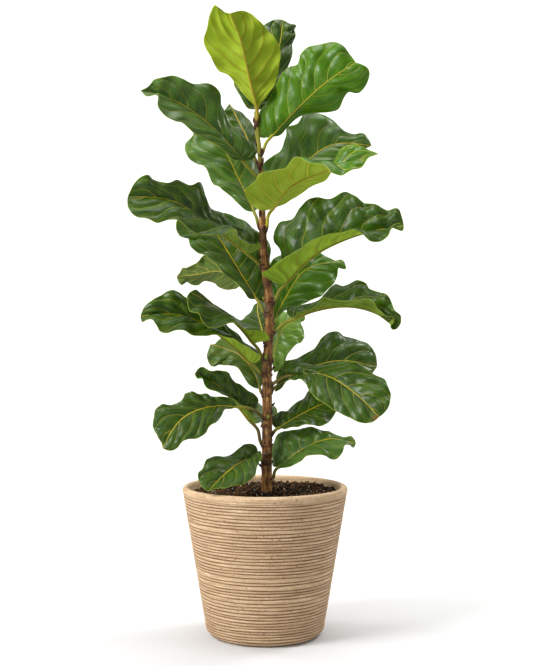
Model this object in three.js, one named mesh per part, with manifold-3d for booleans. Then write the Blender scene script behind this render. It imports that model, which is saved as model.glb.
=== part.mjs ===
// A fiddle leaf fig in a ribbed stone-coloured pot, standing on a flat floor.
// Millimetres, +Z up, +X to the right, -Y to the front, origin at the middle of the pot's underside.

import * as THREE from "three";
import { mergeVertices } from "three/addons/utils/BufferGeometryUtils.js";
import Module from "manifold-3d";

const wasm = await Module();
wasm.setup();

// ---- Driving dimensions -------------------------------------------------------------------------

const GAP = 0.3; // clearance between pieces that touch on the real plant

const POT_HEIGHT = 270;
const POT_RIM_RADIUS = 150; // outside, at the widest part of the rim
const POT_RIM_DROP = 8; // from the top of the rim down to its widest part
const POT_LIP = 12; // thickness of the rounded rim
const POT_FOOT_RADIUS = 109; // outside, just above the rounded foot
const POT_FOOT_ROUND = 14; // radius of the rounded foot
const POT_FLOOR = 16; // thickness of the pot's floor
const POT_BAND = 12; // plain band between the rim and the first ridge
const RIDGE_COUNT = 20;
const RIDGE_DEPTH = 1.6;
const POT_SIDES = 36; // flats round the pot, and round the soil that fills it

const SOIL_TOP = 255;
const SOIL_LUMP = 4; // how far the surface rises and falls
const SOIL_HEAP = 5; // height of the ring heaped round the trunk
const SOIL_HEAP_RADIUS = 30;
const SOIL_HEAP_WIDTH = 18;
const SOIL_HOLLOW = 14; // radius of the hollow left round the trunk
const SOIL_RINGS = 9;

const TRUNK_FOOT = 130; // the trunk's lower end, deep in the soil
const TRUNK_TOP = 942;
const TRUNK_SIDES = 10;
const TRUNK_RING_STEP = 27;
const TRUNK_RADIUS_LOW = 9.8; // at the soil
const TRUNK_RADIUS_MID = 7.4; // at TRUNK_MID
const TRUNK_RADIUS_TOP = 4.2; // from TRUNK_SLIM up
const TRUNK_MID = 690;
const TRUNK_SLIM = 870;
const TRUNK_SWELL = 0.04; // share by which the bark swells and narrows from ring to ring
const TRUNK_SWELL_TURN = 2.4;
const TIP_BUD_HEIGHT = 14;
const KNOB_COUNT = 24; // knobs where old leaves fell, each a golden turn round from the last
const KNOB_SIZE = 0.42; // radius as a share of the trunk's
const KNOB_SINK = 0.45; // share of its radius that a knob is sunk into the bark
const GOLDEN_TURN = Math.PI * (3 - Math.sqrt(5));

const BLADE_THICKNESS = 1.2;
const KEEL_DEPTH = 1.8; // how far the midrib stands out below the blade
const KEEL_FADING = 0.6; // share of that depth that the midrib loses on the way to the tip
const PETIOLE_RADIUS = 2.6;
const PETIOLE_SIDES = 5;
const PETIOLE_OVERLAP = 0.1; // share of the midrib that the petiole runs on under
const PETIOLE_SLIMMING = 0.45; // share of its radius that a petiole loses on the way
const ARCH_FULLNESS = 2.4;
const WAVE_EDGE = 2.2; // power that keeps the waves near the margin
const WAVE_SHIFT = 137; // degrees between the waves of a blade's two halves
const FINE_WAVE = 0.4; // height of the finer wave as a share of the main one
const FINE_WAVE_RATE = 1.7;
const FULL_WAVE_WIDTH = 45; // a narrower half has lower waves

// Where the rows of a blade lie between its base (0) and its tip (1), and its columns from the
// right margin (-1) through the midrib (0) to the left margin (1).
const BLADE_ROWS = [0.05, 0.12, 0.21, 0.32, 0.43, 0.54, 0.65, 0.76, 0.86, 0.94];
const BLADE_COLUMNS = [-1, -0.67, -0.34, 0, 0.34, 0.67, 1];
// Where the four named points of a margin lie: lobe, waist, head and end.
const MARGIN_KNOTS = [0, 0.1, 0.3, 0.55, 0.8, 1];

// The trunk's middle line, as [x, z]: it leans left above a slight bulge to the right.
const TRUNK_LINE = [
  [3, 130], [3, 270], [4, 394], [4, 487], [8, 567], [7, 615], [3, 645], [-2, 693], [-5, 762],
  [-10, 877], [-14, 913], [-15, 942],
];

// The view in which the leaves were read: a photo 533 pixels wide and 666 high, taken from
// VIEW_DISTANCE in front of the pot's axis. The axis stands in AXIS_COLUMN, and EYE_HEIGHT lies in
// EYE_ROW. A thing as wide as it is far away would span SPAN_PIXELS.
const VIEW_DISTANCE = 2200;
const EYE_HEIGHT = 580;
const EYE_ROW = 315;
const AXIS_COLUMN = 265;
const SPAN_PIXELS = 1210;

// The leaves from the top of the plant down, as read by eye. foot is the height where the petiole
// leaves the trunk. Each point gives its column and row in the view, and how far behind the pot's
// axis it was judged to lie, in millimetres. rib runs from the blade's base to its tip; left and
// right are the margins' lobe, waist, head and end, seen from the base with the upper face up. arch
// is each half's rise over its width, and wave is the margin's height, its number of waves and its
// phase in degrees.
const LEAF_READINGS = [
  {
    foot: 926, tone: "lime", arch: [0.1, 0.1], wave: [4, 3.2, 0],
    rib: [[256, 106, -8], [247, 68, -15], [240, 38, -28], [230, 13, -45]],
    left: [[266, 98, -4], [280, 72, 5], [279, 42, -8], [252, 12, -32]],
    right: [[240, 90, -2], [219, 67, 5], [204, 36, -12], [213, 6, -40]],
  },
  {
    foot: 930, tone: "dark", arch: [0.1, 0.1], wave: [4, 3.2, 40],
    rib: [[258, 110, 8], [268, 85, 25], [279, 48, 48], [283, 20, 70]],
    left: [[246, 104, 16], [236, 80, 24], [246, 45, 42], [266, 22, 62]],
    right: [[264, 100, 16], [284, 68, 38], [292, 50, 54], [295, 29, 66]],
  },
  {
    foot: 873, tone: "bright", arch: [0.1, 0.1], wave: [5, 3.4, 80],
    rib: [[272, 136, -5], [296, 110, -12], [325, 83, -20], [357, 63, -30]],
    left: [[259, 120, 2], [284, 80, 8], [309, 49, 0], [338, 43, -16]],
    right: [[276, 139, 8], [302, 120, 20], [338, 110, -2], [367, 84, -22]],
  },
  {
    foot: 827, tone: "dark", arch: [0.1, 0.1], wave: [6, 3.4, 20],
    rib: [[244.5, 161, -12], [214, 131, -35], [180, 104, -60], [141, 90, -90]],
    left: [[243, 166, -45], [212, 141, -82], [170, 122, -105], [150, 98, -112]],
    right: [[253, 146, 5], [222, 104, -2], [188, 82, -20], [152, 78, -66]],
  },
  {
    foot: 850, tone: "dark", arch: [0.1, 0.1], wave: [4, 3, 120],
    rib: [[252, 152, 16], [244, 140, 38], [233, 126, 60], [222, 112, 80]],
    left: [[243, 158, 12], [228, 148, 24], [216, 132, 44], [214, 118, 66]],
    right: [[258, 146, 24], [258, 130, 48], [247, 118, 72], [231, 106, 88]],
  },
  {
    foot: 798, tone: "dark", arch: [0.1, 0.1], wave: [6, 3.2, 200],
    rib: [[272, 187, 10], [300, 166, 25], [332, 145, 42], [371, 143, 60]],
    left: [[268, 160, 30], [288, 133, 52], [317, 113, 66], [352, 134, 70]],
    right: [[280, 188, 2], [308, 178, 6], [338, 162, 22], [362, 150, 48]],
  },
  {
    foot: 734, tone: "lime", arch: [0.1, 0.15], wave: [5, 3.2, 10],
    rib: [[273, 209, -12], [294, 183, -40], [330, 171, -72], [378, 153, -110]],
    left: [[280, 208, 8], [305, 193, 0], [341, 152, -50], [366, 146, -85]],
    right: [[253, 186, -26], [286, 165, -82], [338, 176, -112], [364, 164, -128]],
  },
  {
    foot: 738, tone: "dark", arch: [0.1, 0.1], wave: [5, 3.2, 300],
    rib: [[254, 211, 10], [243, 188, 34], [228, 157, 62], [208, 120, 92]],
    left: [[243, 207, 12], [215, 186, 30], [188, 150, 54], [190, 130, 80]],
    right: [[262, 204, 20], [261, 178, 54], [248, 146, 88], [224, 120, 108]],
  },
  {
    foot: 667, tone: "dark", arch: [0.12, 0.12], wave: [7, 3.4, 60],
    rib: [[248, 254, -15], [214, 228, -50], [172, 201, -95], [126, 196, -130]],
    left: [[258, 246, -40], [204, 237, -95], [162, 223, -133], [136, 216, -146]],
    right: [[250, 236, 8], [217, 208, -20], [180, 182, -55], [143, 178, -108]],
  },
  {
    foot: 580, tone: "dark", arch: [0.1, 0.1], wave: [5, 3.2, 150],
    rib: [[257, 299, 10], [240, 272, 30], [221, 241, 55], [203, 214, 80]],
    left: [[247, 295, 8], [216, 263, 20], [188, 240, 40], [177, 224, 60]],
    right: [[268, 284, 22], [272, 250, 44], [256, 226, 68], [228, 212, 84]],
  },
  {
    foot: 604, tone: "olive", arch: [0.05, 0.05], wave: [4, 3, 0],
    rib: [[241, 283, 66], [220, 271, 95], [198, 274, 125], [177, 276, 155]],
    left: [[238, 276, 52], [221, 258, 70], [197, 262, 98], [181, 268, 130]],
    right: [[236, 289, 88], [222, 289, 122], [200, 284, 150], [183, 285, 168]],
  },
  {
    foot: 471, tone: "dark", arch: [0.12, 0.12], wave: [5, 3.4, 240],
    rib: [[251, 363, -12], [221, 336, -35], [184, 316, -62], [140, 317, -90]],
    left: [[258, 357, -36], [216, 336, -78], [172, 331, -108], [152, 324, -116]],
    right: [[256, 350, 8], [224, 318, -8], [172, 290, -36], [149, 304, -68]],
  },
  {
    foot: 500, tone: "dark", arch: [0.12, 0.08], wave: [5, 3, 30],
    rib: [[254, 344, -14], [236, 323, -34], [213, 306, -58], [190, 292, -84]],
    left: [[266, 338, -40], [228, 325, -75], [204, 325, -102], [187, 306, -108]],
    right: [[258, 334, 2], [238, 320, -4], [214, 302, -30], [197, 289, -62]],
  },
  {
    foot: 525, tone: "dark", arch: [0.1, 0.1], wave: [3, 3, 0],
    rib: [[264, 338, 12], [261, 326, 38], [258, 314, 64], [256, 303, 90]],
    left: [[254, 332, 16], [242, 319, 36], [246, 309, 60], [251, 303, 82]],
    right: [[270, 332, 20], [275, 318, 46], [270, 307, 74], [262, 301, 92]],
  },
  {
    foot: 602, tone: "dark", arch: [0.12, 0.15], wave: [7, 3.4, 100],
    rib: [[284.5, 285, -12], [314, 251, -42], [352, 222, -74], [404.5, 222, -100]],
    left: [[274, 240, 22], [297, 214, -8], [342, 193, -45], [384, 208, -84]],
    right: [[266, 268, -42], [312, 243, -88], [362, 239, -112], [386, 238, -118]],
  },
  {
    foot: 562, tone: "bright", arch: [0.1, 0.1], wave: [5, 3.2, 320],
    rib: [[274, 321, 12], [287, 295, 38], [304, 271, 66], [343, 261, 100]],
    left: [[265, 302, 22], [270, 268, 50], [294, 248, 84], [325, 252, 104]],
    right: [[283, 314, 14], [308, 300, 30], [329, 288, 56], [341, 269, 90]],
  },
  {
    foot: 547, tone: "dark", arch: [0.12, 0.12], wave: [5, 3.4, 180],
    rib: [[293, 319, -5], [324, 309, -16], [364, 307, -32], [397, 328, -50]],
    left: [[290, 308, 14], [316, 298, 24], [354, 282, 0], [391, 300, -30]],
    right: [[302, 311, -26], [322, 299, -44], [362, 300, -68], [381, 317, -72]],
  },
  {
    foot: 494, tone: "bright", arch: [0.1, 0.1], wave: [4, 3, 0],
    rib: [[273, 358, 12], [279, 344, 38], [288, 331, 64], [301, 321, 95]],
    left: [[266, 352, 18], [262, 334, 44], [270, 320, 72], [286, 316, 96]],
    right: [[279, 371, 20], [286, 357, 38], [299, 344, 62], [305, 333, 86]],
  },
  {
    foot: 434, tone: "olive", arch: [0.1, 0.1], wave: [4, 3, 90],
    rib: [[260, 389, 10], [253, 371, 28], [240, 356, 50], [212, 344, 75]],
    left: [[252, 386, 12], [241, 374, 24], [214, 366, 50], [207, 354, 68]],
    right: [[264, 380, 20], [262, 358, 44], [242, 342, 68], [221, 339, 84]],
  },
  {
    foot: 344, tone: "dark", arch: [0.12, 0.12], wave: [4, 3, 50],
    rib: [[251, 422, -12], [234, 402, -20], [217, 385, -42], [196, 373, -72]],
    left: [[256, 420, -24], [236, 399, -32], [209, 388, -62], [200, 379, -80]],
    right: [[257, 402, 8], [240, 383, -2], [222, 370, -20], [203, 367, -56]],
  },
  {
    foot: 393, tone: "dark", arch: [0.12, 0.12], wave: [6, 3.4, 130],
    rib: [[237, 407, -46], [209, 407, -70], [183, 418, -98], [165, 449, -122]],
    left: [[236, 412, -58], [214, 424, -90], [196, 440, -112], [178, 448, -124]],
    right: [[231, 398, -50], [200, 395, -62], [165, 404, -80], [154, 428, -106]],
  },
  {
    foot: 380, tone: "dark", arch: [0.1, 0.1], wave: [3, 3, 0],
    rib: [[263, 420, 12], [263, 416, 45], [263, 412, 80], [263, 408, 120]],
    left: [[255, 422, 16], [250, 416, 48], [252, 409, 84], [258, 403, 112]],
    right: [[271, 422, 16], [277, 414, 48], [275, 408, 84], [269, 403, 112]],
  },
  {
    foot: 440, tone: "dark", arch: [0.12, 0.12], wave: [5, 3.2, 260],
    rib: [[277, 386, 12], [301, 372, 30], [336, 361, 52], [377, 366, 80]],
    left: [[281, 370, 30], [300, 356, 55], [331, 333, 80], [368, 345, 96]],
    right: [[279, 391, 4], [303, 386, 4], [338, 380, 16], [366, 376, 50]],
  },
  {
    foot: 453, tone: "dark", arch: [0.12, 0.12], wave: [6, 3.4, 350],
    rib: [[295, 375, -20], [324, 375, -55], [352, 391, -92], [378, 418, -130]],
    left: [[288, 364, -4], [322, 366, -14], [365, 369, -58], [389, 396, -102]],
    right: [[294, 383, -40], [314, 396, -82], [340, 413, -112], [362, 421, -132]],
  },
  {
    foot: 364, tone: "dark", arch: [0.1, 0.1], wave: [4, 3, 0],
    rib: [[280, 427, 2], [300, 415, 14], [318, 406, 27], [337, 399, 40]],
    left: [[275, 416, 16], [292, 406, 34], [306, 393, 50], [325, 390, 56]],
    right: [[285, 429, -8], [302, 425, -14], [324, 425, 0], [336, 410, 24]],
  },
  {
    foot: 280, tone: "dark", arch: [0.12, 0.12], wave: [4, 3, 160],
    rib: [[280, 466, 5], [303, 449, 0], [330, 439, -5], [356, 443, -10]],
    left: [[273, 447, 22], [288, 432, 32], [318, 429, 22], [346, 437, 6]],
    right: [[288, 467, -14], [310, 455, -36], [332, 459, -40], [345, 449, -32]],
  },
  {
    foot: 313, tone: "dark", arch: [0.12, 0.12], wave: [4, 3, 210],
    rib: [[254, 457, -25], [241, 462, -62], [225, 474, -98], [208, 491, -130]],
    left: [[262, 459, -42], [252, 478, -82], [236, 485, -112], [218, 489, -130]],
    right: [[247, 446, -16], [226, 456, -42], [205, 465, -78], [199, 480, -114]],
  },
];

// ---- Materials ----------------------------------------------------------------------------------

function finish(color, roughness) {
  return new THREE.MeshStandardMaterial({ color, roughness, metalness: 0 });
}

const LEAF_FINISH = {
  dark: finish(0x2f5a2c, 0.42),
  bright: finish(0x4f8a2a, 0.42),
  lime: finish(0x8fae35, 0.5),
  olive: finish(0x55703a, 0.5),
};
const BARK_FINISH = finish(0x5d4433, 0.85);
const SOIL_FINISH = finish(0x33241b, 0.95);
const POT_FINISH = finish(0xb7a083, 0.9);

// ---- Solids -------------------------------------------------------------------------------------

function geometryOf(points, triangles) {
  const geometry = new THREE.BufferGeometry();
  const numbers = points.flatMap((point) => point.toArray());
  geometry.setAttribute("position", new THREE.Float32BufferAttribute(numbers, 3));
  geometry.setIndex(triangles.flat());
  return geometry;
}

function solidOf(geometry) {
  const bare = geometry.clone();
  bare.deleteAttribute("normal");
  bare.deleteAttribute("uv");
  const merged = mergeVertices(bare, 1e-4);
  return new wasm.Manifold(
    new wasm.Mesh({
      numProp: 3,
      vertProperties: new Float32Array(merged.attributes.position.array),
      triVerts: new Uint32Array(merged.index.array),
    }),
  );
}

function geometryFrom(solid) {
  const mesh = solid.getMesh();
  const geometry = new THREE.BufferGeometry();
  geometry.setAttribute("position", new THREE.BufferAttribute(mesh.vertProperties, 3));
  geometry.setIndex(new THREE.BufferAttribute(mesh.triVerts, 1));
  geometry.computeVertexNormals();
  return geometry;
}

function meshOf(name, geometry, material) {
  const mesh = new THREE.Mesh(geometry, material);
  mesh.name = name;
  return mesh;
}

// A closed body through rings of equally many points, capped flat at both ends.
function loft(rings) {
  const sides = rings[0].length;
  const points = rings.flat();
  const triangles = [];
  for (let ring = 0; ring + 1 < rings.length; ring += 1) {
    for (let side = 0; side < sides; side += 1) {
      const a = ring * sides + side;
      const b = ring * sides + ((side + 1) % sides);
      triangles.push([a, b, b + sides], [a, b + sides, a + sides]);
    }
  }
  const last = points.length - sides;
  for (let side = 1; side + 1 < sides; side += 1) {
    triangles.push([0, side + 1, side], [last, last + side, last + side + 1]);
  }
  return geometryOf(points, triangles);
}

// A round rod along a curve, with its radius given along the way.
function rod(curve, steps, sides, radiusAt) {
  const frames = curve.computeFrenetFrames(steps, false);
  const rings = [];
  for (let step = 0; step <= steps; step += 1) {
    const share = step / steps;
    const centre = curve.getPointAt(share);
    const ring = [];
    for (let side = 0; side < sides; side += 1) {
      const angle = (2 * Math.PI * side) / sides;
      const spoke = frames.normals[step].clone().multiplyScalar(Math.cos(angle));
      spoke.addScaledVector(frames.binormals[step], Math.sin(angle));
      ring.push(centre.clone().addScaledVector(spoke, radiusAt(share)));
    }
    rings.push(ring);
  }
  return loft(rings);
}

// ---- Smooth lines -------------------------------------------------------------------------------

// The point at q on a smooth curve that passes through the points at the given knots.
function smoothPoint(knots, points, q) {
  const last = points.length - 1;
  const slopes = [];
  for (let i = 0; i < last; i += 1) {
    slopes.push(points[i + 1].clone().sub(points[i]).divideScalar(knots[i + 1] - knots[i]));
  }
  const tangents = [];
  for (let i = 1; i < last; i += 1) {
    const before = knots[i] - knots[i - 1];
    const after = knots[i + 1] - knots[i];
    const mean = slopes[i - 1].clone().multiplyScalar(after).addScaledVector(slopes[i], before);
    tangents[i] = mean.divideScalar(before + after);
  }
  tangents[0] = slopes[0].clone().multiplyScalar(1.5).addScaledVector(tangents[1], -0.5);
  tangents[last] = slopes[last - 1].clone().multiplyScalar(1.5).addScaledVector(tangents[last - 1], -0.5);
  let span = 0;
  while (span < last - 1 && q > knots[span + 1]) {
    span += 1;
  }
  const length = knots[span + 1] - knots[span];
  const t = (q - knots[span]) / length;
  return new THREE.Vector3()
    .addScaledVector(points[span], 2 * t ** 3 - 3 * t ** 2 + 1)
    .addScaledVector(tangents[span], (t ** 3 - 2 * t ** 2 + t) * length)
    .addScaledVector(points[span + 1], 3 * t ** 2 - 2 * t ** 3)
    .addScaledVector(tangents[span + 1], (t ** 3 - t ** 2) * length);
}

// The share of the whole length at which each point of a line lies.
function lengthKnots(points) {
  const knots = [0];
  for (let i = 1; i < points.length; i += 1) {
    knots.push(knots[i - 1] + points[i].distanceTo(points[i - 1]));
  }
  return knots.map((knot) => knot / knots[points.length - 1]);
}

// ---- Trunk --------------------------------------------------------------------------------------

function trunkCentre(height) {
  let upper = 1;
  while (upper < TRUNK_LINE.length - 1 && TRUNK_LINE[upper][1] < height) {
    upper += 1;
  }
  const [x0, z0] = TRUNK_LINE[upper - 1];
  const [x1, z1] = TRUNK_LINE[upper];
  return new THREE.Vector3(THREE.MathUtils.mapLinear(height, z0, z1, x0, x1), 0, height);
}

function trunkRadius(height) {
  if (height < TRUNK_MID) {
    const share = Math.max(0, (height - SOIL_TOP) / (TRUNK_MID - SOIL_TOP));
    return THREE.MathUtils.lerp(TRUNK_RADIUS_LOW, TRUNK_RADIUS_MID, share);
  }
  const share = Math.min(1, (height - TRUNK_MID) / (TRUNK_SLIM - TRUNK_MID));
  return THREE.MathUtils.lerp(TRUNK_RADIUS_MID, TRUNK_RADIUS_TOP, share);
}

function trunkGeometry(clearance) {
  const rings = [];
  const count = Math.round((TRUNK_TOP - TRUNK_FOOT) / TRUNK_RING_STEP);
  for (let ring = 0; ring <= count; ring += 1) {
    const height = THREE.MathUtils.lerp(TRUNK_FOOT - clearance, TRUNK_TOP + clearance, ring / count);
    const centre = trunkCentre(height);
    const radius = trunkRadius(height) * (1 + TRUNK_SWELL * Math.sin(ring * TRUNK_SWELL_TURN)) + clearance;
    rings.push(
      Array.from({ length: TRUNK_SIDES }, (_, side) => {
        const angle = (2 * Math.PI * side) / TRUNK_SIDES;
        return new THREE.Vector3(
          centre.x + radius * Math.cos(angle),
          centre.y + radius * Math.sin(angle),
          height,
        );
      }),
    );
  }
  return loft(rings);
}

// A point on the trunk's surface, and the direction out of it.
function trunkSpot(height, angle) {
  const out = new THREE.Vector3(Math.cos(angle), Math.sin(angle), 0);
  const spot = trunkCentre(height).addScaledVector(out, trunkRadius(height));
  return { spot, out };
}

// A short pointed bud, stub or papery scale, sunk into the trunk and leaning out by lean.
function spike(height, angle, length, radius, lean) {
  const { spot, out } = trunkSpot(height, angle);
  const axis = out.clone().multiplyScalar(Math.sin(lean));
  axis.z = Math.cos(lean);
  const cone = new THREE.ConeGeometry(radius, length, 5);
  cone.rotateX(Math.PI / 2);
  cone.applyQuaternion(new THREE.Quaternion().setFromUnitVectors(new THREE.Vector3(0, 0, 1), axis));
  spot.addScaledVector(out, -0.4 * radius).addScaledVector(axis, length / 2 - radius);
  return solidOf(cone.translate(spot.x, spot.y, spot.z));
}

// A low knob where an old leaf fell.
function knob(height, angle, radius) {
  const { spot, out } = trunkSpot(height, angle);
  const ball = new THREE.SphereGeometry(radius, 6, 4).rotateX(0.5).scale(1, 1, 0.7);
  spot.addScaledVector(out, -KNOB_SINK * radius);
  return solidOf(ball.translate(spot.x, spot.y, spot.z));
}

// Heights and angles of the buds and stubs that the trunk carries, and of its papery scales.
const BUDS = [
  { height: 500, angle: -1.9, length: 9, radius: 3.2, lean: 0.7 },
  { height: 393, angle: -1.4, length: 8, radius: 3, lean: 0.8 },
  { height: 640, angle: -0.5, length: 13, radius: 2.2, lean: 0.9 },
  { height: 682, angle: 3.6, length: 14, radius: 2.2, lean: 0.7 },
  { height: 480, angle: 0.5, length: 12, radius: 2.2, lean: 1.1 },
  { height: 414, angle: 0.4, length: 11, radius: 2.2, lean: 1.0 },
  { height: 303, angle: 3.4, length: 12, radius: 2.4, lean: 0.9 },
];
const SCALES = [
  { height: 757, angle: 4.0, length: 16, radius: 3 },
  { height: 770, angle: 2.6, length: 15, radius: 2.6 },
  { height: 782, angle: 5.6, length: 14, radius: 2.6 },
  { height: 840, angle: 4.3, length: 18, radius: 3 },
  { height: 851, angle: 5.6, length: 16, radius: 2.4 },
  { height: 884, angle: 3.2, length: 16, radius: 2.4 },
  { height: 914, angle: 3.6, length: 14, radius: 2.6 },
  { height: 926, angle: 0.2, length: 16, radius: 2.6 },
];

function trunk() {
  const pieces = [solidOf(trunkGeometry(0))];
  BUDS.forEach((bud) => pieces.push(spike(bud.height, bud.angle, bud.length, bud.radius, bud.lean)));
  SCALES.forEach((scale) => pieces.push(spike(scale.height, scale.angle, scale.length, scale.radius, 0.3)));
  for (let index = 0; index < KNOB_COUNT; index += 1) {
    const height = THREE.MathUtils.lerp(SOIL_TOP + 20, TRUNK_SLIM, index / (KNOB_COUNT - 1));
    const angle = index * GOLDEN_TURN;
    const { spot } = trunkSpot(height, angle);
    const radius = KNOB_SIZE * trunkRadius(height);
    const free = LEAVES.every((leaf) => leafFoot(leaf).distanceTo(spot) > 3 * PETIOLE_RADIUS + radius);
    if (free) {
      pieces.push(knob(height, angle, radius));
    }
  }
  const tip = trunkCentre(TRUNK_TOP);
  const bud = new THREE.ConeGeometry(TRUNK_RADIUS_TOP * 0.9, TIP_BUD_HEIGHT, 6).rotateX(Math.PI / 2);
  pieces.push(solidOf(bud.translate(tip.x, tip.y, tip.z + 0.4 * TIP_BUD_HEIGHT)));
  return meshOf("trunk", geometryFrom(wasm.Manifold.union(pieces)), BARK_FINISH);
}

// ---- Leaves -------------------------------------------------------------------------------------

// The place of each point read in the view, to the nearest millimetre.
function places(points) {
  return points.map(([column, row, depth]) => {
    const scale = (VIEW_DISTANCE + depth) / SPAN_PIXELS;
    const x = Math.round((column - AXIS_COLUMN) * scale);
    const z = Math.round(EYE_HEIGHT - (row - EYE_ROW) * scale);
    return new THREE.Vector3(x, depth, z);
  });
}

const LEAVES = LEAF_READINGS.map((leaf) => ({
  ...leaf,
  rib: places(leaf.rib),
  left: places(leaf.left),
  right: places(leaf.right),
}));

function leafFoot(leaf) {
  const base = leaf.rib[0];
  const centre = trunkCentre(leaf.foot);
  const angle = Math.atan2(base.y - centre.y, base.x - centre.x);
  return trunkSpot(leaf.foot, angle).spot;
}

// The blade's middle surface: u runs from base to tip, v from the right margin to the left one.
function bladePoint(leaf, u, v) {
  const { rib } = leaf;
  const knots = lengthKnots(rib);
  const onRib = smoothPoint(knots, rib, u);
  const ahead = smoothPoint(knots, rib, Math.min(1, u + 0.01));
  const along = ahead.sub(smoothPoint(knots, rib, Math.max(0, u - 0.01))).normalize();
  const left = v >= 0;
  const margin = [rib[0], ...(left ? leaf.left : leaf.right), rib[3]];
  const across = smoothPoint(MARGIN_KNOTS, margin, u).sub(onRib);
  const width = across.length();
  const face = new THREE.Vector3().crossVectors(along, across).multiplyScalar(left ? 1 : -1).normalize();
  const out = Math.abs(v);
  const [height, count, phase] = leaf.wave;
  const turn = THREE.MathUtils.degToRad(left ? phase : phase + WAVE_SHIFT);
  const travel = 2 * Math.PI * count * u;
  const ripple = Math.sin(travel + turn) + FINE_WAVE * Math.sin(FINE_WAVE_RATE * travel + 2.1 * turn);
  const taper = Math.min(1, width / FULL_WAVE_WIDTH) * (0.5 + 0.5 * u);
  const arch = ARCH_FULLNESS * leaf.arch[left ? 0 : 1] * width * out * (1 - out);
  return onRib
    .addScaledVector(across, out)
    .addScaledVector(face, arch + height * taper * out ** WAVE_EDGE * ripple);
}

function bladeFace(leaf, u, v) {
  const step = 0.02;
  const behind = bladePoint(leaf, Math.max(0, u - step), v);
  const right = bladePoint(leaf, u, Math.max(-1, v - step));
  const along = bladePoint(leaf, Math.min(1, u + step), v).sub(behind);
  const across = bladePoint(leaf, u, Math.min(1, v + step)).sub(right);
  return along.cross(across).normalize();
}

// The blade as a thin solid. Both faces have the same triangles, and the lower one carries the keel.
function bladeGeometry(leaf) {
  const columns = BLADE_COLUMNS.length;
  const half = BLADE_THICKNESS / 2;
  const grid = [];
  const place = (u, v) => {
    const point = bladePoint(leaf, u, v);
    const face = bladeFace(leaf, THREE.MathUtils.clamp(u, 0.03, 0.97), v);
    const keel = v === 0 ? KEEL_DEPTH * (1 - KEEL_FADING * u) : 0;
    const upper = point.clone().addScaledVector(face, half);
    const under = point.clone().addScaledVector(face, -half - keel);
    grid.push([upper, under]);
  };
  place(0, 0);
  BLADE_ROWS.forEach((u) => BLADE_COLUMNS.forEach((v) => place(u, v)));
  place(1, 0);
  const tip = grid.length - 1;
  const at = (row, column) => 1 + row * columns + column;
  const faces = [];
  for (let column = 0; column + 1 < columns; column += 1) {
    faces.push([0, at(0, column), at(0, column + 1)]);
    for (let row = 0; row + 1 < BLADE_ROWS.length; row += 1) {
      faces.push([at(row, column), at(row + 1, column), at(row + 1, column + 1)]);
      faces.push([at(row, column), at(row + 1, column + 1), at(row, column + 1)]);
    }
    faces.push([at(BLADE_ROWS.length - 1, column), tip, at(BLADE_ROWS.length - 1, column + 1)]);
  }
  const lower = grid.length;
  const triangles = faces.flatMap(([a, b, c]) => [[a, b, c], [a + lower, c + lower, b + lower]]);
  const rim = (column) => [0, ...BLADE_ROWS.map((_, row) => at(row, column)), tip];
  const edge = [...rim(0), ...rim(columns - 1).reverse().slice(1, -1)];
  edge.forEach((a, index) => {
    const b = edge[(index + 1) % edge.length];
    triangles.push([a, a + lower, b + lower], [a, b + lower, b]);
  });
  return geometryOf([...grid.map(([top]) => top), ...grid.map(([, under]) => under)], triangles);
}

// The leaf stalk, from inside the trunk to the underside of the midrib.
function petioleGeometry(leaf) {
  const { rib } = leaf;
  const knots = lengthKnots(rib);
  const base = rib[0].clone();
  const on = smoothPoint(knots, rib, PETIOLE_OVERLAP);
  const sunk = (u) => bladeFace(leaf, Math.max(u, 0.05), 0).multiplyScalar(-0.6 * KEEL_DEPTH);
  const start = trunkCentre(leaf.foot);
  const foot = leafFoot(leaf);
  const along = on.clone().sub(base).normalize();
  const bend = base.clone().addScaledVector(along, -0.35 * base.distanceTo(foot));
  const joint = base.clone().add(sunk(0));
  const end = on.add(sunk(PETIOLE_OVERLAP));
  const path = new THREE.CatmullRomCurve3([start, foot, bend, joint, end]);
  return rod(path, 4, PETIOLE_SIDES, (share) => PETIOLE_RADIUS * (1 - PETIOLE_SLIMMING * share));
}

function leafMesh(leaf, index, trunkRoom) {
  const solid = solidOf(bladeGeometry(leaf)).add(solidOf(petioleGeometry(leaf))).subtract(trunkRoom);
  const name = `leaf_${String(index + 1).padStart(2, "0")}`;
  return meshOf(name, geometryFrom(solid), LEAF_FINISH[leaf.tone]);
}

// ---- Soil ---------------------------------------------------------------------------------------

// Radius of the pot's smooth inside at a height.
function potInside(height) {
  const share = (height - POT_FLOOR) / (POT_HEIGHT - POT_LIP / 2 - POT_FLOOR);
  const low = POT_FOOT_RADIUS - POT_LIP;
  return THREE.MathUtils.lerp(low, POT_RIM_RADIUS - POT_LIP, share);
}

function soilHeight(radius, angle, edge) {
  const chips = Math.sin(0.31 * radius + 5 * angle) + Math.sin(0.47 * radius - 7 * angle + 1.3);
  const swell = Math.sin(2 * angle + 0.6) + 0.6 * Math.cos(3 * angle - 0.05 * radius);
  const heap = SOIL_HEAP * Math.exp(-(((radius - SOIL_HEAP_RADIUS) / SOIL_HEAP_WIDTH) ** 2));
  const inner = trunkRadius(SOIL_TOP) + 4;
  const fade = THREE.MathUtils.clamp((edge - radius) / 12, 0, 1) * Math.min(1, (radius - inner) / 10 + 0.2);
  return SOIL_TOP + SOIL_LUMP * fade * (0.45 * chips + 0.35 * swell) + heap * fade;
}

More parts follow.
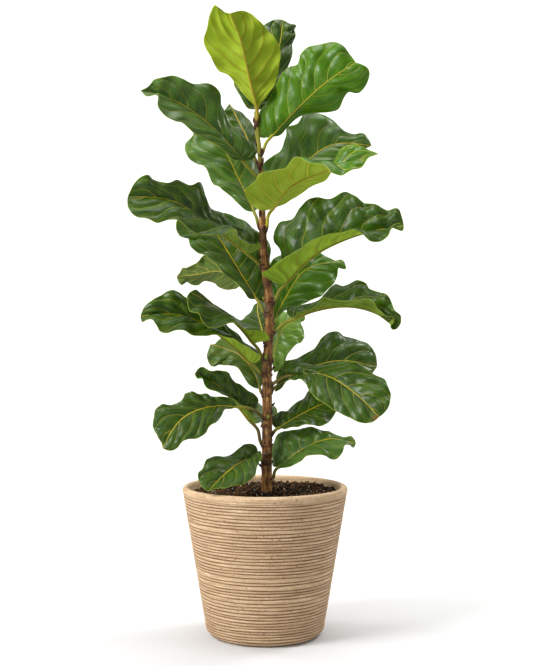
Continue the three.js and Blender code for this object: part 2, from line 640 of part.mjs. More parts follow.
function soil(trunkRoom) {
  const edge = potInside(SOIL_TOP) - GAP;
  const rings = [];
  const ringOf = (radius, heightAt) =>
    Array.from({ length: POT_SIDES }, (_, side) => {
      const angle = (2 * Math.PI * side) / POT_SIDES;
      return new THREE.Vector3(radius * Math.cos(angle), radius * Math.sin(angle), heightAt(angle));
    });
  rings.push(ringOf(potInside(POT_FLOOR + GAP) - GAP, () => POT_FLOOR + GAP));
  for (let ring = 0; ring < SOIL_RINGS; ring += 1) {
    const radius = THREE.MathUtils.lerp(edge, SOIL_HOLLOW, ring / (SOIL_RINGS - 1));
    rings.push(ringOf(radius, (angle) => soilHeight(radius, angle, edge)));
  }
  return meshOf("soil", geometryFrom(solidOf(loft(rings)).subtract(trunkRoom)), SOIL_FINISH);
}

// ---- Pot ----------------------------------------------------------------------------------------

function potOutside(height) {
  const top = POT_HEIGHT - POT_RIM_DROP;
  return THREE.MathUtils.mapLinear(height, POT_FOOT_ROUND, top, POT_FOOT_RADIUS, POT_RIM_RADIUS);
}

function arcPoints(centreX, centreY, radius, from, to, steps) {
  return Array.from({ length: steps + 1 }, (_, step) => {
    const angle = THREE.MathUtils.lerp(from, to, step / steps);
    return new THREE.Vector2(centreX + radius * Math.cos(angle), centreY + radius * Math.sin(angle));
  });
}

function pot() {
  const outline = [new THREE.Vector2(0, 0)];
  outline.push(
    ...arcPoints(POT_FOOT_RADIUS - POT_FOOT_ROUND, POT_FOOT_ROUND, POT_FOOT_ROUND, -Math.PI / 2, 0, 4),
  );
  const low = POT_FOOT_ROUND + 3;
  const high = POT_HEIGHT - POT_RIM_DROP - POT_BAND;
  for (let ridge = 0; ridge < RIDGE_COUNT; ridge += 1) {
    const pitch = (high - low) / RIDGE_COUNT;
    const groove = low + pitch * (ridge + 0.5 + 0.22 * Math.sin(ridge * 2.9));
    const crest = low + pitch * (ridge + 1);
    outline.push(new THREE.Vector2(potOutside(groove) - RIDGE_DEPTH, groove));
    outline.push(new THREE.Vector2(potOutside(crest), crest));
  }
  const lip = POT_LIP / 2;
  const rimTop = POT_HEIGHT - lip;
  outline.push(...arcPoints(POT_RIM_RADIUS - lip, rimTop, lip, 0, Math.PI, 6));
  outline.push(new THREE.Vector2(potInside(POT_FLOOR), POT_FLOOR));
  outline.push(new THREE.Vector2(0, POT_FLOOR));
  const shell = new THREE.LatheGeometry(outline, POT_SIDES).rotateX(Math.PI / 2);
  return meshOf("pot", geometryFrom(solidOf(shell)), POT_FINISH);
}

// ---- Assembly -----------------------------------------------------------------------------------

const plant = new THREE.Group();
const trunkRoom = solidOf(trunkGeometry(GAP)); // the trunk and the clearance round it
plant.add(pot(), soil(trunkRoom), trunk());
LEAVES.forEach((leaf, index) => plant.add(leafMesh(leaf, index, trunkRoom)));

export default plant;
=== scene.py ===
"""A fiddle leaf fig in a ridged, stone-coloured pot, dressed for its picture.

Sizes are in millimetres until piece() turns them to metres. +Z is up, +X to the right, -Y to the front.
"""

import itertools
import math
import random

import bpy
import numpy as np
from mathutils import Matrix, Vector, noise


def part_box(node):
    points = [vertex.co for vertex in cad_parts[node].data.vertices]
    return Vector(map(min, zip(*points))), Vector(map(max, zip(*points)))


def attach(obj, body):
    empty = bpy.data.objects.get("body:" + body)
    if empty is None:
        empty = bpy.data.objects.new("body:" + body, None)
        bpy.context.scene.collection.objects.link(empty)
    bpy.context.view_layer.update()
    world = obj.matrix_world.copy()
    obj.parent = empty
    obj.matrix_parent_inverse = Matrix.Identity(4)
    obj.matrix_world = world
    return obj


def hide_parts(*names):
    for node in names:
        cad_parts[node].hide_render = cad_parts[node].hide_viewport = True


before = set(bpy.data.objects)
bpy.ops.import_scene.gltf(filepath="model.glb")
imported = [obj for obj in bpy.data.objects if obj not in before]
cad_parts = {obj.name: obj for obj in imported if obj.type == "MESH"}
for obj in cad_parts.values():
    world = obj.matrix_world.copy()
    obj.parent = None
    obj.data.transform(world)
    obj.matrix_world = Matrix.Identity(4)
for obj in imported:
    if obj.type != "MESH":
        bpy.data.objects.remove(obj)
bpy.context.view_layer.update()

# ---- Sizes --------------------------------------------------------------------------------------

MM = 0.001

POT_CORNER = np.array(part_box("pot")[1]) / MM  # the upper corner of the solid pot's box
POT_HEIGHT = POT_CORNER[2]
POT_RIM_RADIUS = POT_CORNER[0]
POT_RIM_DROP = 8  # from the top of the rim down to the end of the wall
POT_LIP = 12  # thickness of the rounded rim
POT_FOOT_RADIUS = 109
POT_FOOT_ROUND = 20  # radius between the wall and the underside
POT_FOOT_STEPS = 40
POT_RIM_START = -0.2  # the angle at which the rim's round starts from the wall
POT_RIM_STEPS = 20
POT_INSIDE_STEPS = 24
POT_INSIDE_DROP = 2  # from the end of the rim's round to the first row inside
POT_FLOOR = 16  # thickness of the pot's floor
POT_INSIDE_LOW = 190  # where the inside of the wall ends, well under the soil
POT_BAND = 9  # band under the rim with two faint lines only
POT_SIDES = 240
POT_ROW = 0.75  # height of one row of faces on the ridged wall
GROOVE_SEED = 5
GROOVE_LOW = 8  # height of the lowest groove
GROOVE_DEPTHS = (1.2, 2.2)
GROOVE_WIDTHS = (0.95, 1.3)
GROOVE_PITCHES = (4.7, 6.4)
WIDE_PITCHES = (7.5, 9.0)  # of a few grooves that stand further apart
COMMON_PITCH_SHARE = 0.94
FINE_GROOVE_SHARE = 0.3  # share of the grooves that have a finer one above them
FINE_GROOVE_RISES = (2.2, 3.4)
FINE_GROOVE_DEPTHS = (0.3, 0.6)
FINE_GROOVE_WIDTH = 0.6
GROOVE_PHASES = (0, 6.28)  # where round the pot a groove's straying starts
GROOVE_STRAYING = (0.35, 0.3)
GROOVE_FADING = 0.14  # share of its depth that comes and goes
BAND_LINES = ((3.4, 0.8, 0.9, 1.0), (6.6, 0.5, 0.8, 4.0))  # rise, depth, width and phase
FULL_SHADE_DEPTH = 1.2  # a groove this deep gets all the painted shade that a groove can

SOIL_TOP = 255
SOIL_DEPTH = 40  # how deep the dressed soil reaches
SOIL_CLEARANCE = 0.8  # between the soil and the pot's inside
SOIL_SIDES = 220
SOIL_RINGS = 110
SOIL_FIRST_RING = 0.02  # as a share of the soil's radius
SOIL_TONE = 0.35  # how light the bed is, from 0 to 1
SOIL_LUMPS = (4.0, 26, 3.1)  # height, length and where their pattern starts
SOIL_CRUMBS = (1.8, 5, 7.7)
SOIL_HEAP = (4.5, 34, 17)  # height, distance from the trunk and width
SOIL_HOLLOW = (-7, 12, 6)  # right round the trunk
SOIL_MOUND = 5  # height of the mound at the back right
SOIL_MOUND_PLACE = (75, 70)
SOIL_MOUND_SIZE = (60, 50)
LOOSE = (  # name, count, sizes, thickness as a share of size, gap to the pot's inside, and seed
    ("soil_chips", 3200, (1.4, 4.3), 0.5, 5, 21),
    ("soil_perlite", 650, (0.8, 1.6), 0.85, 4, 22),
)
LOOSE_INNER_RADIUS = 14  # no chip or grain lies nearer to the pot's axis
LOOSE_LENGTHS = (0.8, 1.7)  # of a chip or grain, as shares of its size
LOOSE_WIDTHS = (0.6, 1.0)
LOOSE_ROUGHNESS = (0.75, 1.2)  # how far its corners stand in or out
LOOSE_RISES = (-0.2, 0.6)  # from the soil to its middle
LOOSE_DARKNESS = 1.4  # over 1, so that more of them are dark
GOLDEN_RATIO = 1.618  # gives the 12 corners of a regular icosahedron

TRUNK_LINE = [  # how far right and how high its middle lies
    (3, 130), (3, 270), (4, 394), (4, 487), (8, 567), (7, 615), (3, 645), (-2, 693), (-5, 762),
    (-10, 877), (-14, 913), (-15, 942),
]
TRUNK_FOOT = 200  # where the bark ends, under the soil
TRUNK_TOP = TRUNK_LINE[-1][1]
TRUNK_SIDES = 56
TRUNK_ROW = 1.3  # height of one row of its faces
TRUNK_RADII = ((SOIL_TOP, 9.8), (690, 7.4), (870, 4.2))  # height and radius
TRUNK_GREEN = (820, 880)  # heights where brown bark turns to green skin
KNOB_COUNT = 24
KNOB_LOW = SOIL_TOP + 20
KNOB_HIGH = TRUNK_RADII[-1][0]
KNOB_SIZE = 0.45  # as a share of the trunk's radius there
KNOB_DARKNESS = 0.75  # where a leaf's scar has 1
SCAR_SIZE = 0.55  # likewise, of the mark that a leaf's stalk makes
SCAR_DROP = 1  # how far a leaf's scar lies below the stalk's foot
RING_HEIGHT = 0.7  # of the ring that a fallen leaf leaves
RING_WIDTH = 1.8
BARK_ROUGHNESS = 0.045  # as a share of the trunk's radius
GOLDEN_TURN = math.pi * (3 - math.sqrt(5))
SPIKE_STEPS = 9  # along a bud, stub or scale
SPIKE_SIDES = 8
NODE_SCALE_LENGTHS = (6, 11)  # on the old wood and on the young
NODE_SCALE_HEIGHTS = (650, 850)  # between these the one length turns to the other
NODE_SCALE_RADIUS = 2.4
NODE_SCALE_LEAN = 0.75
NODE_SCALE_PLACES = ((-0.8, 0), (0.75, 2), (2.4, -2))  # turn and rise about a stalk's foot

LEAF_SEED = 100
BLADE_ROWS = 120
BLADE_HALF_COLUMNS = 24
BLADE_THICKNESS = 0.9
BLADE_ENDS = 0.006  # share of the midrib that is left out at either end of a blade
ROW_CROWDING = 0.085  # how far the rows of points crowd towards the ends
COLUMN_CROWDING = 0.92  # under 1, so the columns of points crowd towards the margins
ARCH_FULLNESS = 2.4  # 4 would give all the rise that a leaf's arch says
WAVE_EDGE = 2.2  # how steeply the small waves grow towards the margin
WAVE_HEIGHT = 1.5  # of the small waves between the points of a margin
EXTRA_WAVES = 1.5  # more small waves than a leaf's row gives for the margin
MARGIN_SWING = 5  # how far a margin swings forwards and back from one of its points to the next
SWING_END = 0.12  # share of a margin over which that swing grows from nothing
DEPTH_KNOTS = (0, 0.1, 0.3, 0.55, 0.8, 1)  # where the lobe, waist, head and end lie on a margin
WAVE_SHIFT = 137  # degrees between the waves of the two halves
FINE_WAVE = 0.4  # height of the finer waves, as a share of the others
FINE_WAVE_RATE = 1.7
FINE_WAVE_TURN = 2.1
FULL_WAVE_WIDTH = 45  # a half blade this wide has the full height of waves and puffs
VEIN_COUNT = 6.4  # lateral veins along each half of a blade
VEIN_SWEEP = 0.3  # how far a lateral vein leans towards the tip, as a share of the blade
VEIN_CURVE = 1.3  # over 1, so a vein leans more and more on its way out
VEIN_CROWDING = 0.25  # how much closer they stand at the base, and further apart at the tip
VEIN_STAGGER = 0.42  # how far the right half's veins stand from the left half's, in spacings
VEIN_WANDER = (9, 12)  # how fast their unevenness changes along a blade and from leaf to leaf
VEIN_RIDGE = 1.2  # how far a lateral vein stands out below
VEIN_PUFF = 0.092  # how high the tissue stands between two veins, as a share of their spacing
VEIN_UNEVEN = 0.14  # how far a vein strays from its even place, in spacings
DIMPLE_HEIGHT = 1.1  # of the shallow dimples all over a blade
DIMPLE_LENGTH = 55
DIMPLE_WIDTH = 42
SCORCH_SIZE = 5  # radius of a dry brown patch
MIDRIB_RADII = (2.4, 0.65)  # under the blade's base and at its tip
MIDRIB_SINK = 0.7  # share of its radius that the midrib's middle lies below the blade
STALK_RADIUS = 3.1
STALK_FOOT_RADIUS = 4.0  # where the stalk leaves the trunk
STALK_SIDES = 12
STALK_STEPS = 70
STALK_SUNK = 0.6  # how deep the stalk's foot is sunk, as a share of the trunk's radius
STALK_FOOT_DROP = 4
JOINT_SINK = 0.6  # how far the stalk's middle lies under the blade's base
STALK_BEND = 0.35  # where the stalk bends into the blade, as a share of its length
RIB_STEPS = 9
RIB_REACH = (0.06, 0.97)  # the share of the blade that the midrib runs under
OFF_EDGE = 9  # stands for a stalk's distance from any margin
OFF_TRUNK = 99.0  # stands for a blade's distance from the trunk

# The camera, level with the middle of the plant and 2.2 m in front of it.
PHOTO_WIDTH = 533
PHOTO_HEIGHT = 666
CAMERA_PLACE = (2.7, -2200, 580)
CAMERA_DIP = 0.852  # degrees below level
CAMERA_SENSOR = 36
CAMERA_LENS = 81.73

# The leaves from the top of the plant down, as read one by one. foot is the height where the stalk leaves
# the trunk. rib runs from the blade's base to its tip, as columns and rows of the photo and depths
# behind the pot's axis in millimetres. left and right are the margins from base to tip, seen with the
# upper face up: a column and row wherever the outline turns, and the depths of the lobe, waist, head
# and end. arch is each half's rise over its width. wave is the number of the margin's waves and their
# phase in degrees. tone is the kind of leaf, and look is its set of tints where it has one of its own.
# woody is how brown the stalk is, and scorch is the place of a dry brown patch, as the rib's points are.
# Some looks paint sheen and light into a leaf's colour: pale, lit, soft and yellow.
LEAVES = [
    {
        "foot": 926, "tone": "lime", "arch": (0.1, 0.1), "wave": (3.2, 0),
        "rib": ((256, 107, -8), (247, 68, -15), (240, 38, -28), (230, 13.5, -45)),
        "left": (
            (261, 103), (270, 91.5), (277.5, 78), (279.2, 64), (280.8, 52), (276, 40), (267, 29),
            (261, 22.5), (249, 12.7), (239, 11),
        ),
        "left_depth": (-4, 5, -8, -32),
        "right": (
            (247, 98), (236, 85), (228, 75), (217, 69.5), (211, 57), (203.5, 42), (207.5, 27),
            (210, 13), (215.3, 5.3), (221, 10.5),
        ),
        "right_depth": (-2, 5, -12, -40),
    },
    {
        "foot": 930, "tone": "dark", "arch": (0.1, 0.1), "wave": (3.2, 40),
        "rib": ((257.5, 109, 8), (268, 85, 25), (279, 48, 48), (283, 20, 70)),
        "left": (
            (249, 109), (241, 97.5), (234, 84), (238, 66), (247, 47), (258, 31), (266, 24), (272, 20.7),
            (277.5, 19.2),
        ),
        "left_depth": (16, 24, 42, 62),
        "right": (
            (266, 110), (277, 102), (284.5, 86), (287, 70), (292.3, 55), (292.2, 43), (295.5, 36),
            (294.5, 29.5), (296.5, 25.5), (290, 23.5),
        ),
        "right_depth": (16, 38, 54, 66),
    },
    {
        "foot": 873, "tone": "bright", "arch": (0.1, 0.1), "wave": (3.4, 80),
        "rib": ((271.5, 136.5, -5), (296, 110, -12), (325, 83, -20), (356, 62.5, -30)),
        "left": (
            (261, 137.5), (258, 119), (270, 98), (284, 72), (289, 67), (297.5, 64), (301, 55),
            (309, 46.5), (322, 44), (340, 43.5), (349, 53.5),
        ),
        "left_depth": (2, 8, 0, -16),
        "right": (
            (278.5, 136), (287, 127), (301, 115), (308, 112), (322, 112), (338, 109), (344.5, 97),
            (349, 92), (361, 91.3), (368, 81), (369, 70),
        ),
        "right_depth": (8, 20, -2, -22),
    },
    {
        "foot": 827, "tone": "dark", "look": "pale", "arch": (0.1, 0.1), "wave": (3.4, 20),
        "rib": ((243, 161, -12), (213, 128, -35), (179, 103, -60), (140.3, 90.5, -90)),
        "left": (
            (236, 161), (226, 154), (212, 142.5), (195, 135), (181, 122.5), (175, 122), (167, 118),
            (157.5, 106), (157, 96.5), (148, 96.5),
        ),
        "left_depth": (-45, -82, -105, -112),
        "right": (
            (254, 158), (256, 149), (245, 138), (229, 122), (222, 106), (219.5, 93), (211, 84.5),
            (195, 84.3), (183, 79), (173, 76), (162, 77.5), (154, 80), (148, 86.5),
        ),
        "right_depth": (5, -2, -20, -66),
    },
    {
        "foot": 850, "tone": "dark", "arch": (0.1, 0.1), "wave": (3, 120),
        "rib": ((252, 151, 16), (247, 138, 38), (240, 124, 60), (229.5, 103.5, 80)),
        "left": (
            (247, 156), (238, 156), (229, 149), (222, 141), (218, 132), (218, 124), (221, 118),
            (224, 112), (226.5, 108),
        ),
        "left_depth": (12, 24, 44, 66),
        "right": (
            (257, 150), (258, 144), (257.5, 137), (256, 131), (252, 124), (246.5, 117.5), (240, 112),
            (233.5, 110), (231.5, 106.5),
        ),
        "right_depth": (24, 48, 72, 88),
    },
    {
        "foot": 798, "tone": "dark", "look": "pale", "arch": (0.1, 0.1), "wave": (3.2, 200),
        "rib": ((272, 187, 10), (300, 166, 25), (332, 145, 42), (371.5, 146, 60)),
        "left": (
            (264, 165), (273.5, 156), (282, 148.5), (286, 137), (287.5, 127), (297, 123.7),
            (306, 113.5), (322, 114.4), (333, 121), (343, 131), (353, 134.3), (363.5, 133.5),
            (369, 140),
        ),
        "left_depth": (30, 52, 66, 70),
        "right": ((280, 188), (308, 178), (338, 162), (362, 150)),
        "right_depth": (2, 6, 22, 48),
    },
    {
        "foot": 734, "tone": "lime", "look": "yellow", "arch": (0.1, 0.15), "wave": (3.2, 10),
        "rib": ((272.7, 208.7, -12), (292, 186, -40), (323, 172, -72), (378.5, 153.5, -110)),
        "left": (
            (280, 206), (293, 199), (305, 192), (317, 184), (326, 181), (331.5, 171), (338, 156),
            (346, 146), (354, 143.8), (362, 147), (371, 150.5),
        ),
        "left_depth": (8, 0, -50, -85),
        "right": (
            (262, 210.5), (250, 203), (246, 190), (254, 183), (261, 173), (272, 173), (285, 168),
            (295.4, 157.8), (309, 164), (324, 166), (333, 173), (343, 176.8), (353, 170.5), (362, 167),
            (368, 158),
        ),
        "right_depth": (-26, -82, -112, -128),
    },
    {
        "foot": 738, "tone": "dark", "look": "pale", "arch": (0.1, 0.1), "wave": (3.2, 300),
        "rib": ((254, 212, 10), (243, 188, 34), (228, 157, 62), (208, 120, 92)),
        "left": (
            (247, 211), (238, 204), (229, 195), (221, 189), (213, 184), (206, 169), (195, 163),
            (187.5, 156), (185.8, 144), (192, 136.5), (197, 124),
        ),
        "left_depth": (12, 30, 54, 80),
        "right": ((262, 204), (261, 178), (248, 146), (224, 120)),
        "right_depth": (20, 54, 88, 108),
    },
    {
        "foot": 667, "tone": "dark", "arch": (0.12, 0.12), "wave": (3.4, 60),
        "rib": ((248, 254.3, -15), (214, 228, -50), (172, 201, -95), (127.5, 197, -130)),
        "left": (
            (254, 251.5), (261, 246), (250, 244.5), (239, 239), (236, 230), (227, 234), (215.5, 236.4),
            (199, 233.9), (186, 228.4), (176.6, 220.2), (168.4, 219.6), (157.8, 223.1), (146, 219.6),
            (135.5, 216.3), (128, 207),
        ),
        "left_depth": (-40, -95, -133, -146),
        "right": (
            (256.6, 233), (248, 229), (234.9, 226), (228, 219.5), (221, 212.5), (213.5, 211),
            (205, 194), (199.5, 183), (189.6, 185.5), (179, 180), (166, 182.9), (153, 179), (147, 175),
            (135.5, 182), (129.5, 192),
        ),
        "right_depth": (8, -20, -55, -108),
    },
    {
        "foot": 580, "tone": "dark", "arch": (0.1, 0.1), "wave": (3.2, 150),
        "rib": ((256.8, 299, 10), (240, 272, 30), (221, 241, 55), (203, 214, 80)),
        "left": (
            (250, 299), (243, 290.5), (233, 281), (222, 272), (214, 262), (205, 255.5), (196, 251.7),
            (190, 246), (187.5, 238.5), (181, 236.5), (177, 231), (176, 223), (184, 216),
        ),
        "left_depth": (8, 20, 40, 60),
        "right": (
            (263, 302), (268, 290), (270, 272), (270, 256), (270.8, 250), (267.5, 241), (258, 232),
            (245, 222), (228, 214), (214, 212),
        ),
        "right_depth": (22, 44, 68, 84),
    },
    {
        "foot": 604, "tone": "olive", "arch": (0.05, 0.05), "wave": (3, 0),
        "rib": ((241, 283, 66), (220, 271, 95), (198, 274, 125), (176.6, 276.5, 155)),
        "left": (
            (238, 276), (221, 258), (203, 256), (199.5, 260), (194.5, 263.8), (187, 267.4),
            (182, 268.5), (180, 272),
        ),
        "left_depth": (52, 70, 98, 130),
        "right": (
            (238, 287.5), (230, 290), (219.5, 287.8), (211, 282.2), (204, 281.8), (198, 285),
            (192, 284.6), (187, 282.8), (181.5, 285), (178, 280.5),
        ),
        "right_depth": (88, 118, 144, 158),
    },
    {
        "foot": 471, "tone": "dark", "look": "lit", "arch": (0.12, 0.12), "wave": (3.4, 240),
        "rib": ((251.3, 363, -12), (221, 336, -35), (184, 316, -62), (140.3, 316.5, -90)),
        "left": (
            (257.5, 362), (260, 357.5), (252, 350), (243, 344.5), (233, 340), (222, 336.5),
            (212, 335.3), (203.5, 336.6), (194, 336.3), (185, 330.7), (175, 331.8), (167, 333.6),
            (160, 331), (155.5, 324), (152, 319.6), (146, 321), (142.5, 322.5),
        ),
        "left_depth": (-36, -78, -108, -116),
        "right": (
            (260, 359), (257.5, 352), (250, 345.8), (243.5, 342), (237.5, 335), (229, 327.5),
            (214, 312), (200, 303), (185.8, 297.6), (179.6, 292.9), (171, 290.2), (162.5, 294.8),
            (152, 300), (145, 306),
        ),
        "right_depth": (8, -8, -36, -68),
    },
    {
        "foot": 500, "tone": "dark", "look": "lit", "arch": (0.12, 0.08), "wave": (3, 30),
        "rib": ((254, 343.7, -14), (236, 323, -34), (213, 306, -58), (190, 292, -84)),
        "left": (
            (262, 341.5), (269, 339.5), (266, 334), (252, 330.5), (243, 328.5), (236, 324.5),
            (227.3, 324.6), (216.8, 327.5), (207, 327.5), (201.5, 321.5), (198, 314), (194.5, 312.7),
            (191, 312), (187.5, 305), (186.8, 297),
        ),
        "left_depth": (-40, -75, -102, -108),
        "right": (
            (261, 336), (257, 331), (247, 325.5), (238.7, 320.7), (230, 315), (218, 306.5),
            (207, 298.8), (200, 293), (195.5, 289.5),
        ),
        "right_depth": (2, -4, -30, -62),
    },
    {
        "foot": 525, "tone": "dark", "arch": (0.1, 0.1), "wave": (3, 0),
        "rib": ((264, 338, 12), (261, 326, 38), (258, 314, 64), (257.5, 303, 90)),
        "left": ((254, 332), (240, 321), (245, 317), (249.5, 313.5), (251.8, 309), (254, 305)),
        "left_depth": (16, 36, 60, 82),
        "right": ((270, 332), (275, 318), (270, 307), (262, 301)),
        "right_depth": (20, 46, 74, 92),
    },
    {
        "foot": 602, "tone": "dark", "look": "lit", "arch": (0.12, 0.15), "wave": (3.4, 100),
        "rib": ((284.3, 285, -12), (315, 255, -42), (357, 235.5, -74), (404, 226, -100)),
        "left": (
            (281, 262), (281.5, 251), (275, 241), (273.7, 233), (278.8, 223.7), (293.7, 218.1),
            (300.5, 208.2), (309.8, 198.6), (316, 197.3), (330.9, 198.9), (345, 192), (354.4, 195.8),
            (363, 202.5), (376, 204.3), (388, 210.6), (397.8, 208.8), (401.5, 216),
        ),
        "left_depth": (22, -8, -45, -84),
        "right": (
            (272, 281), (262.7, 274.5), (270, 268.3), (285, 259), (300, 249.7), (313.5, 239.8),
            (325, 236.7), (339.6, 233.6), (352, 229.8), (361.3, 234.8), (369.3, 240.8), (381, 241),
            (388, 236), (393, 228), (398, 230), (402.5, 231),
        ),
        "right_depth": (-42, -88, -112, -118),
    },
    {
        "foot": 562, "tone": "bright", "arch": (0.1, 0.1), "wave": (3.2, 320),
        "rib": ((274, 321, 12), (287, 295, 38), (304, 271, 66), (344.3, 261.5, 100)),
        "left": (
            (265, 302), (264.5, 287), (269, 268), (273, 259.5), (280, 256), (295, 252), (310, 254),
            (319, 252.8), (326, 256.5), (335, 261.3), (341, 259.6),
        ),
        "left_depth": (22, 50, 84, 104),
        "right": (
            (281, 314), (290, 308.5), (302, 304.5), (313, 299.5), (321, 296.5), (327, 290), (334, 283),
            (337, 276), (338.2, 268.5), (342, 268.8), (345.5, 269),
        ),
        "right_depth": (14, 30, 56, 90),
    },
    {
        "foot": 547, "tone": "dark", "arch": (0.12, 0.12), "wave": (3.4, 180),
        "rib": ((293.2, 318.8, -5), (322, 308.5, -16), (368, 310, -32), (396.5, 329.3, -50)),
        "left": (
            (287, 312), (286.5, 307.5), (296, 307.5), (308, 304.5), (320, 300), (328, 292),
            (335, 284.6), (344, 285.6), (353, 282), (360, 281.3), (366, 284), (370, 289), (381, 293),
            (387.5, 294.5), (391.5, 302), (394.5, 310), (401, 316), (401, 323),
        ),
        "left_depth": (14, 24, 0, -56),
        "right": (
            (299, 313), (310, 309.5), (317, 305.5), (323.5, 298), (330, 298.5), (338, 301.5),
            (351, 301.8), (366, 299), (373, 303), (379, 311), (386, 316.5), (393.5, 317.5),
            (393.5, 322.5), (390.5, 326.5), (392, 329),
        ),
        "right_depth": (-26, -44, -68, -72),
    },
    {
        "foot": 494, "tone": "bright", "look": "soft", "arch": (0.1, 0.1), "wave": (3, 0),
        "rib": ((273, 360, 12), (276.5, 343, 38), (284, 328, 64), (305, 316, 95)),
        "left": ((268, 355), (263, 338), (264, 324), (272, 315), (285, 312), (296, 314)),
        "left_depth": (18, 44, 72, 96),
        "right": (
            (273, 366), (274.7, 372.3), (280, 369.5), (285, 362.5), (287, 355), (291, 350),
            (296, 344.5), (301, 342.5), (303.8, 338.5), (304.4, 332), (302, 326.5), (301.5, 322.5),
            (304.5, 320.5),
        ),
        "right_depth": (20, 38, 62, 86),
    },
    {
        "foot": 434, "tone": "olive", "arch": (0.1, 0.1), "wave": (3, 90),
        "rib": ((260, 389, 10), (253, 371, 28), (240, 356, 50), (210.3, 344.3, 75)),
        "left": (
            (256, 388.5), (249.5, 385), (244, 377.5), (239, 369.3), (232, 366), (225, 365.2),
            (218, 365.2), (213.5, 366.7), (209, 363.5), (207, 357.5), (208.8, 350),
        ),
        "left_depth": (12, 24, 50, 68),
        "right": ((264, 380), (262, 358), (242, 342), (220, 339), (214.5, 344.3)),
        "right_depth": (20, 44, 68, 84),
    },
    {
        "foot": 344, "tone": "dark", "arch": (0.12, 0.12), "wave": (3, 50), "woody": 0.6,
        "rib": ((251.2, 421.7, -12), (234, 402, -20), (217, 385, -42), (194.7, 374, -72)),
        "left": (
            (255, 421), (254.5, 418), (247, 409.5), (238.5, 402.5), (230, 398), (223.4, 395),
            (214, 391.5), (207.6, 387.9), (204.3, 383.7), (202, 379.3), (197, 378.2),
        ),
        "left_depth": (-24, -32, -62, -80),
        "right": (
            (253.5, 413), (257, 405), (258, 399), (254, 394), (247, 390), (241, 384.5), (235, 382),
            (230.5, 377.5), (227, 371.8), (219, 370.4), (209, 370), (202.5, 366.8), (198, 369),
        ),
        "right_depth": (8, -2, -20, -56),
    },
    {
        "foot": 393, "tone": "dark", "arch": (0.12, 0.12), "wave": (3.4, 130), "woody": 0.6,
        "rib": ((237, 407, -46), (209, 407, -70), (183, 418, -98), (162.5, 448, -122)),
        "left": (
            (232, 408.8), (225, 409.5), (221.5, 416), (215.5, 423), (209.5, 426.5), (204.5, 434.5),
            (197, 438.8), (188, 439.2), (182.5, 442), (178, 447.5), (172, 450.6), (167, 450.4),
        ),
        "left_depth": (-58, -90, -112, -124),
        "right": (
            (234, 400), (227, 397.3), (219, 396.4), (211, 396.3), (206, 393.3), (199.5, 394.2),
            (191, 391.5), (185.5, 393.7), (181.5, 400.5), (174, 404.5), (161.5, 404.7), (155.5, 410),
            (153.8, 419), (153, 426), (157, 435.5), (162, 444),
        ),
        "right_depth": (-50, -62, -80, -106),
    },
    {
        "foot": 380, "tone": "dark", "arch": (0.1, 0.1), "wave": (3, 0),
        "rib": ((263, 420, 12), (263, 416, 45), (263, 412, 80), (263, 408, 120)),
        "left": ((256, 423.5), (250, 418), (249.5, 410), (253, 405), (258, 403)),
        "left_depth": (16, 48, 84, 112),
        "right": ((270, 422), (275.5, 417), (277.2, 411.5), (274.5, 406), (269, 403.5)),
        "right_depth": (16, 48, 84, 112),
    },
    {
        "foot": 440, "tone": "dark", "arch": (0.12, 0.12), "wave": (3.2, 260),
        "rib": ((277, 386, 12), (301, 372, 30), (336, 361, 52), (377, 367, 80)),
        "left": (
            (276.5, 377), (280, 368), (285, 362), (293, 359.8), (302, 356), (309, 352), (316.5, 346),
            (322, 338), (329, 333), (337, 332), (345.2, 336.3), (353, 339), (366, 343.2),
            (372.5, 348.5), (376, 357.5),
        ),
        "left_depth": (30, 55, 80, 96),
        "right": (
            (275, 391.5), (282, 388), (286, 381.5), (293, 378), (310, 376), (335, 378), (355, 378),
            (369, 376),
        ),
        "right_depth": (4, 4, 16, 50),
    },
    {
        "foot": 453, "tone": "dark", "arch": (0.12, 0.12), "wave": (3.4, 350),
        "woody": 0.6, "scorch": (376, 419, -128),
        "rib": ((295, 375, -20), (324, 375, -55), (352, 391, -92), (379, 417.3, -130)),
        "left": (
            (287, 373.5), (282, 368.5), (286, 362.5), (296, 363.5), (308, 365.8), (323, 366.3),
            (341, 363.8), (357, 363), (365.5, 369), (374, 374.5), (384, 379), (388, 387.5),
            (390.8, 395), (390, 402), (386.5, 410),
        ),
        "left_depth": (-4, -14, -58, -102),
        "right": (
            (289, 379), (295, 380.7), (302, 380), (306, 384), (309, 390.5), (314, 397), (323, 402.7),
            (333, 410), (341, 413.3), (349, 418), (358, 422), (367, 423.2), (373, 421.8),
        ),
        "right_depth": (-40, -82, -112, -132),
    },
    {
        "foot": 364, "tone": "dark", "arch": (0.1, 0.1), "wave": (3, 0),
        "rib": ((280, 427, 2), (300, 415, 14), (318, 406, 27), (337, 399, 40)),
        "left": (
            (275, 427.5), (271.8, 422), (273.5, 416), (280, 411.7), (287.5, 410.3), (296.5, 403.3),
            (303, 399.5), (307.5, 392), (315, 388), (325, 389),
        ),
        "left_depth": (16, 34, 50, 56),
        "right": (
            (284, 429), (290, 427.5), (297.5, 427), (304, 424.3), (310.5, 425), (318, 426.3),
            (326, 424.3), (331.5, 419.4), (336, 412), (340, 404),
        ),
        "right_depth": (-8, -14, 0, 24),
    },
    {
        "foot": 280, "tone": "dark", "look": "pale", "arch": (0.12, 0.12), "wave": (3, 160),
        "rib": ((280, 466, 5), (303, 449, 0), (330, 439, -5), (356, 443.5, -10)),
        "left": (
            (273, 466), (272, 456), (273, 445), (277, 435), (282, 432), (292, 431), (303.7, 428.1),
            (311, 427.2), (321, 431), (329, 431.3), (337.3, 436.4), (346, 437), (351, 435.9),
            (354.3, 439),
        ),
        "left_depth": (22, 32, 22, 6),
        "right": (
            (278, 468.5), (284, 468), (294, 465.3), (302, 461.5), (307, 455.5), (315, 455.3),
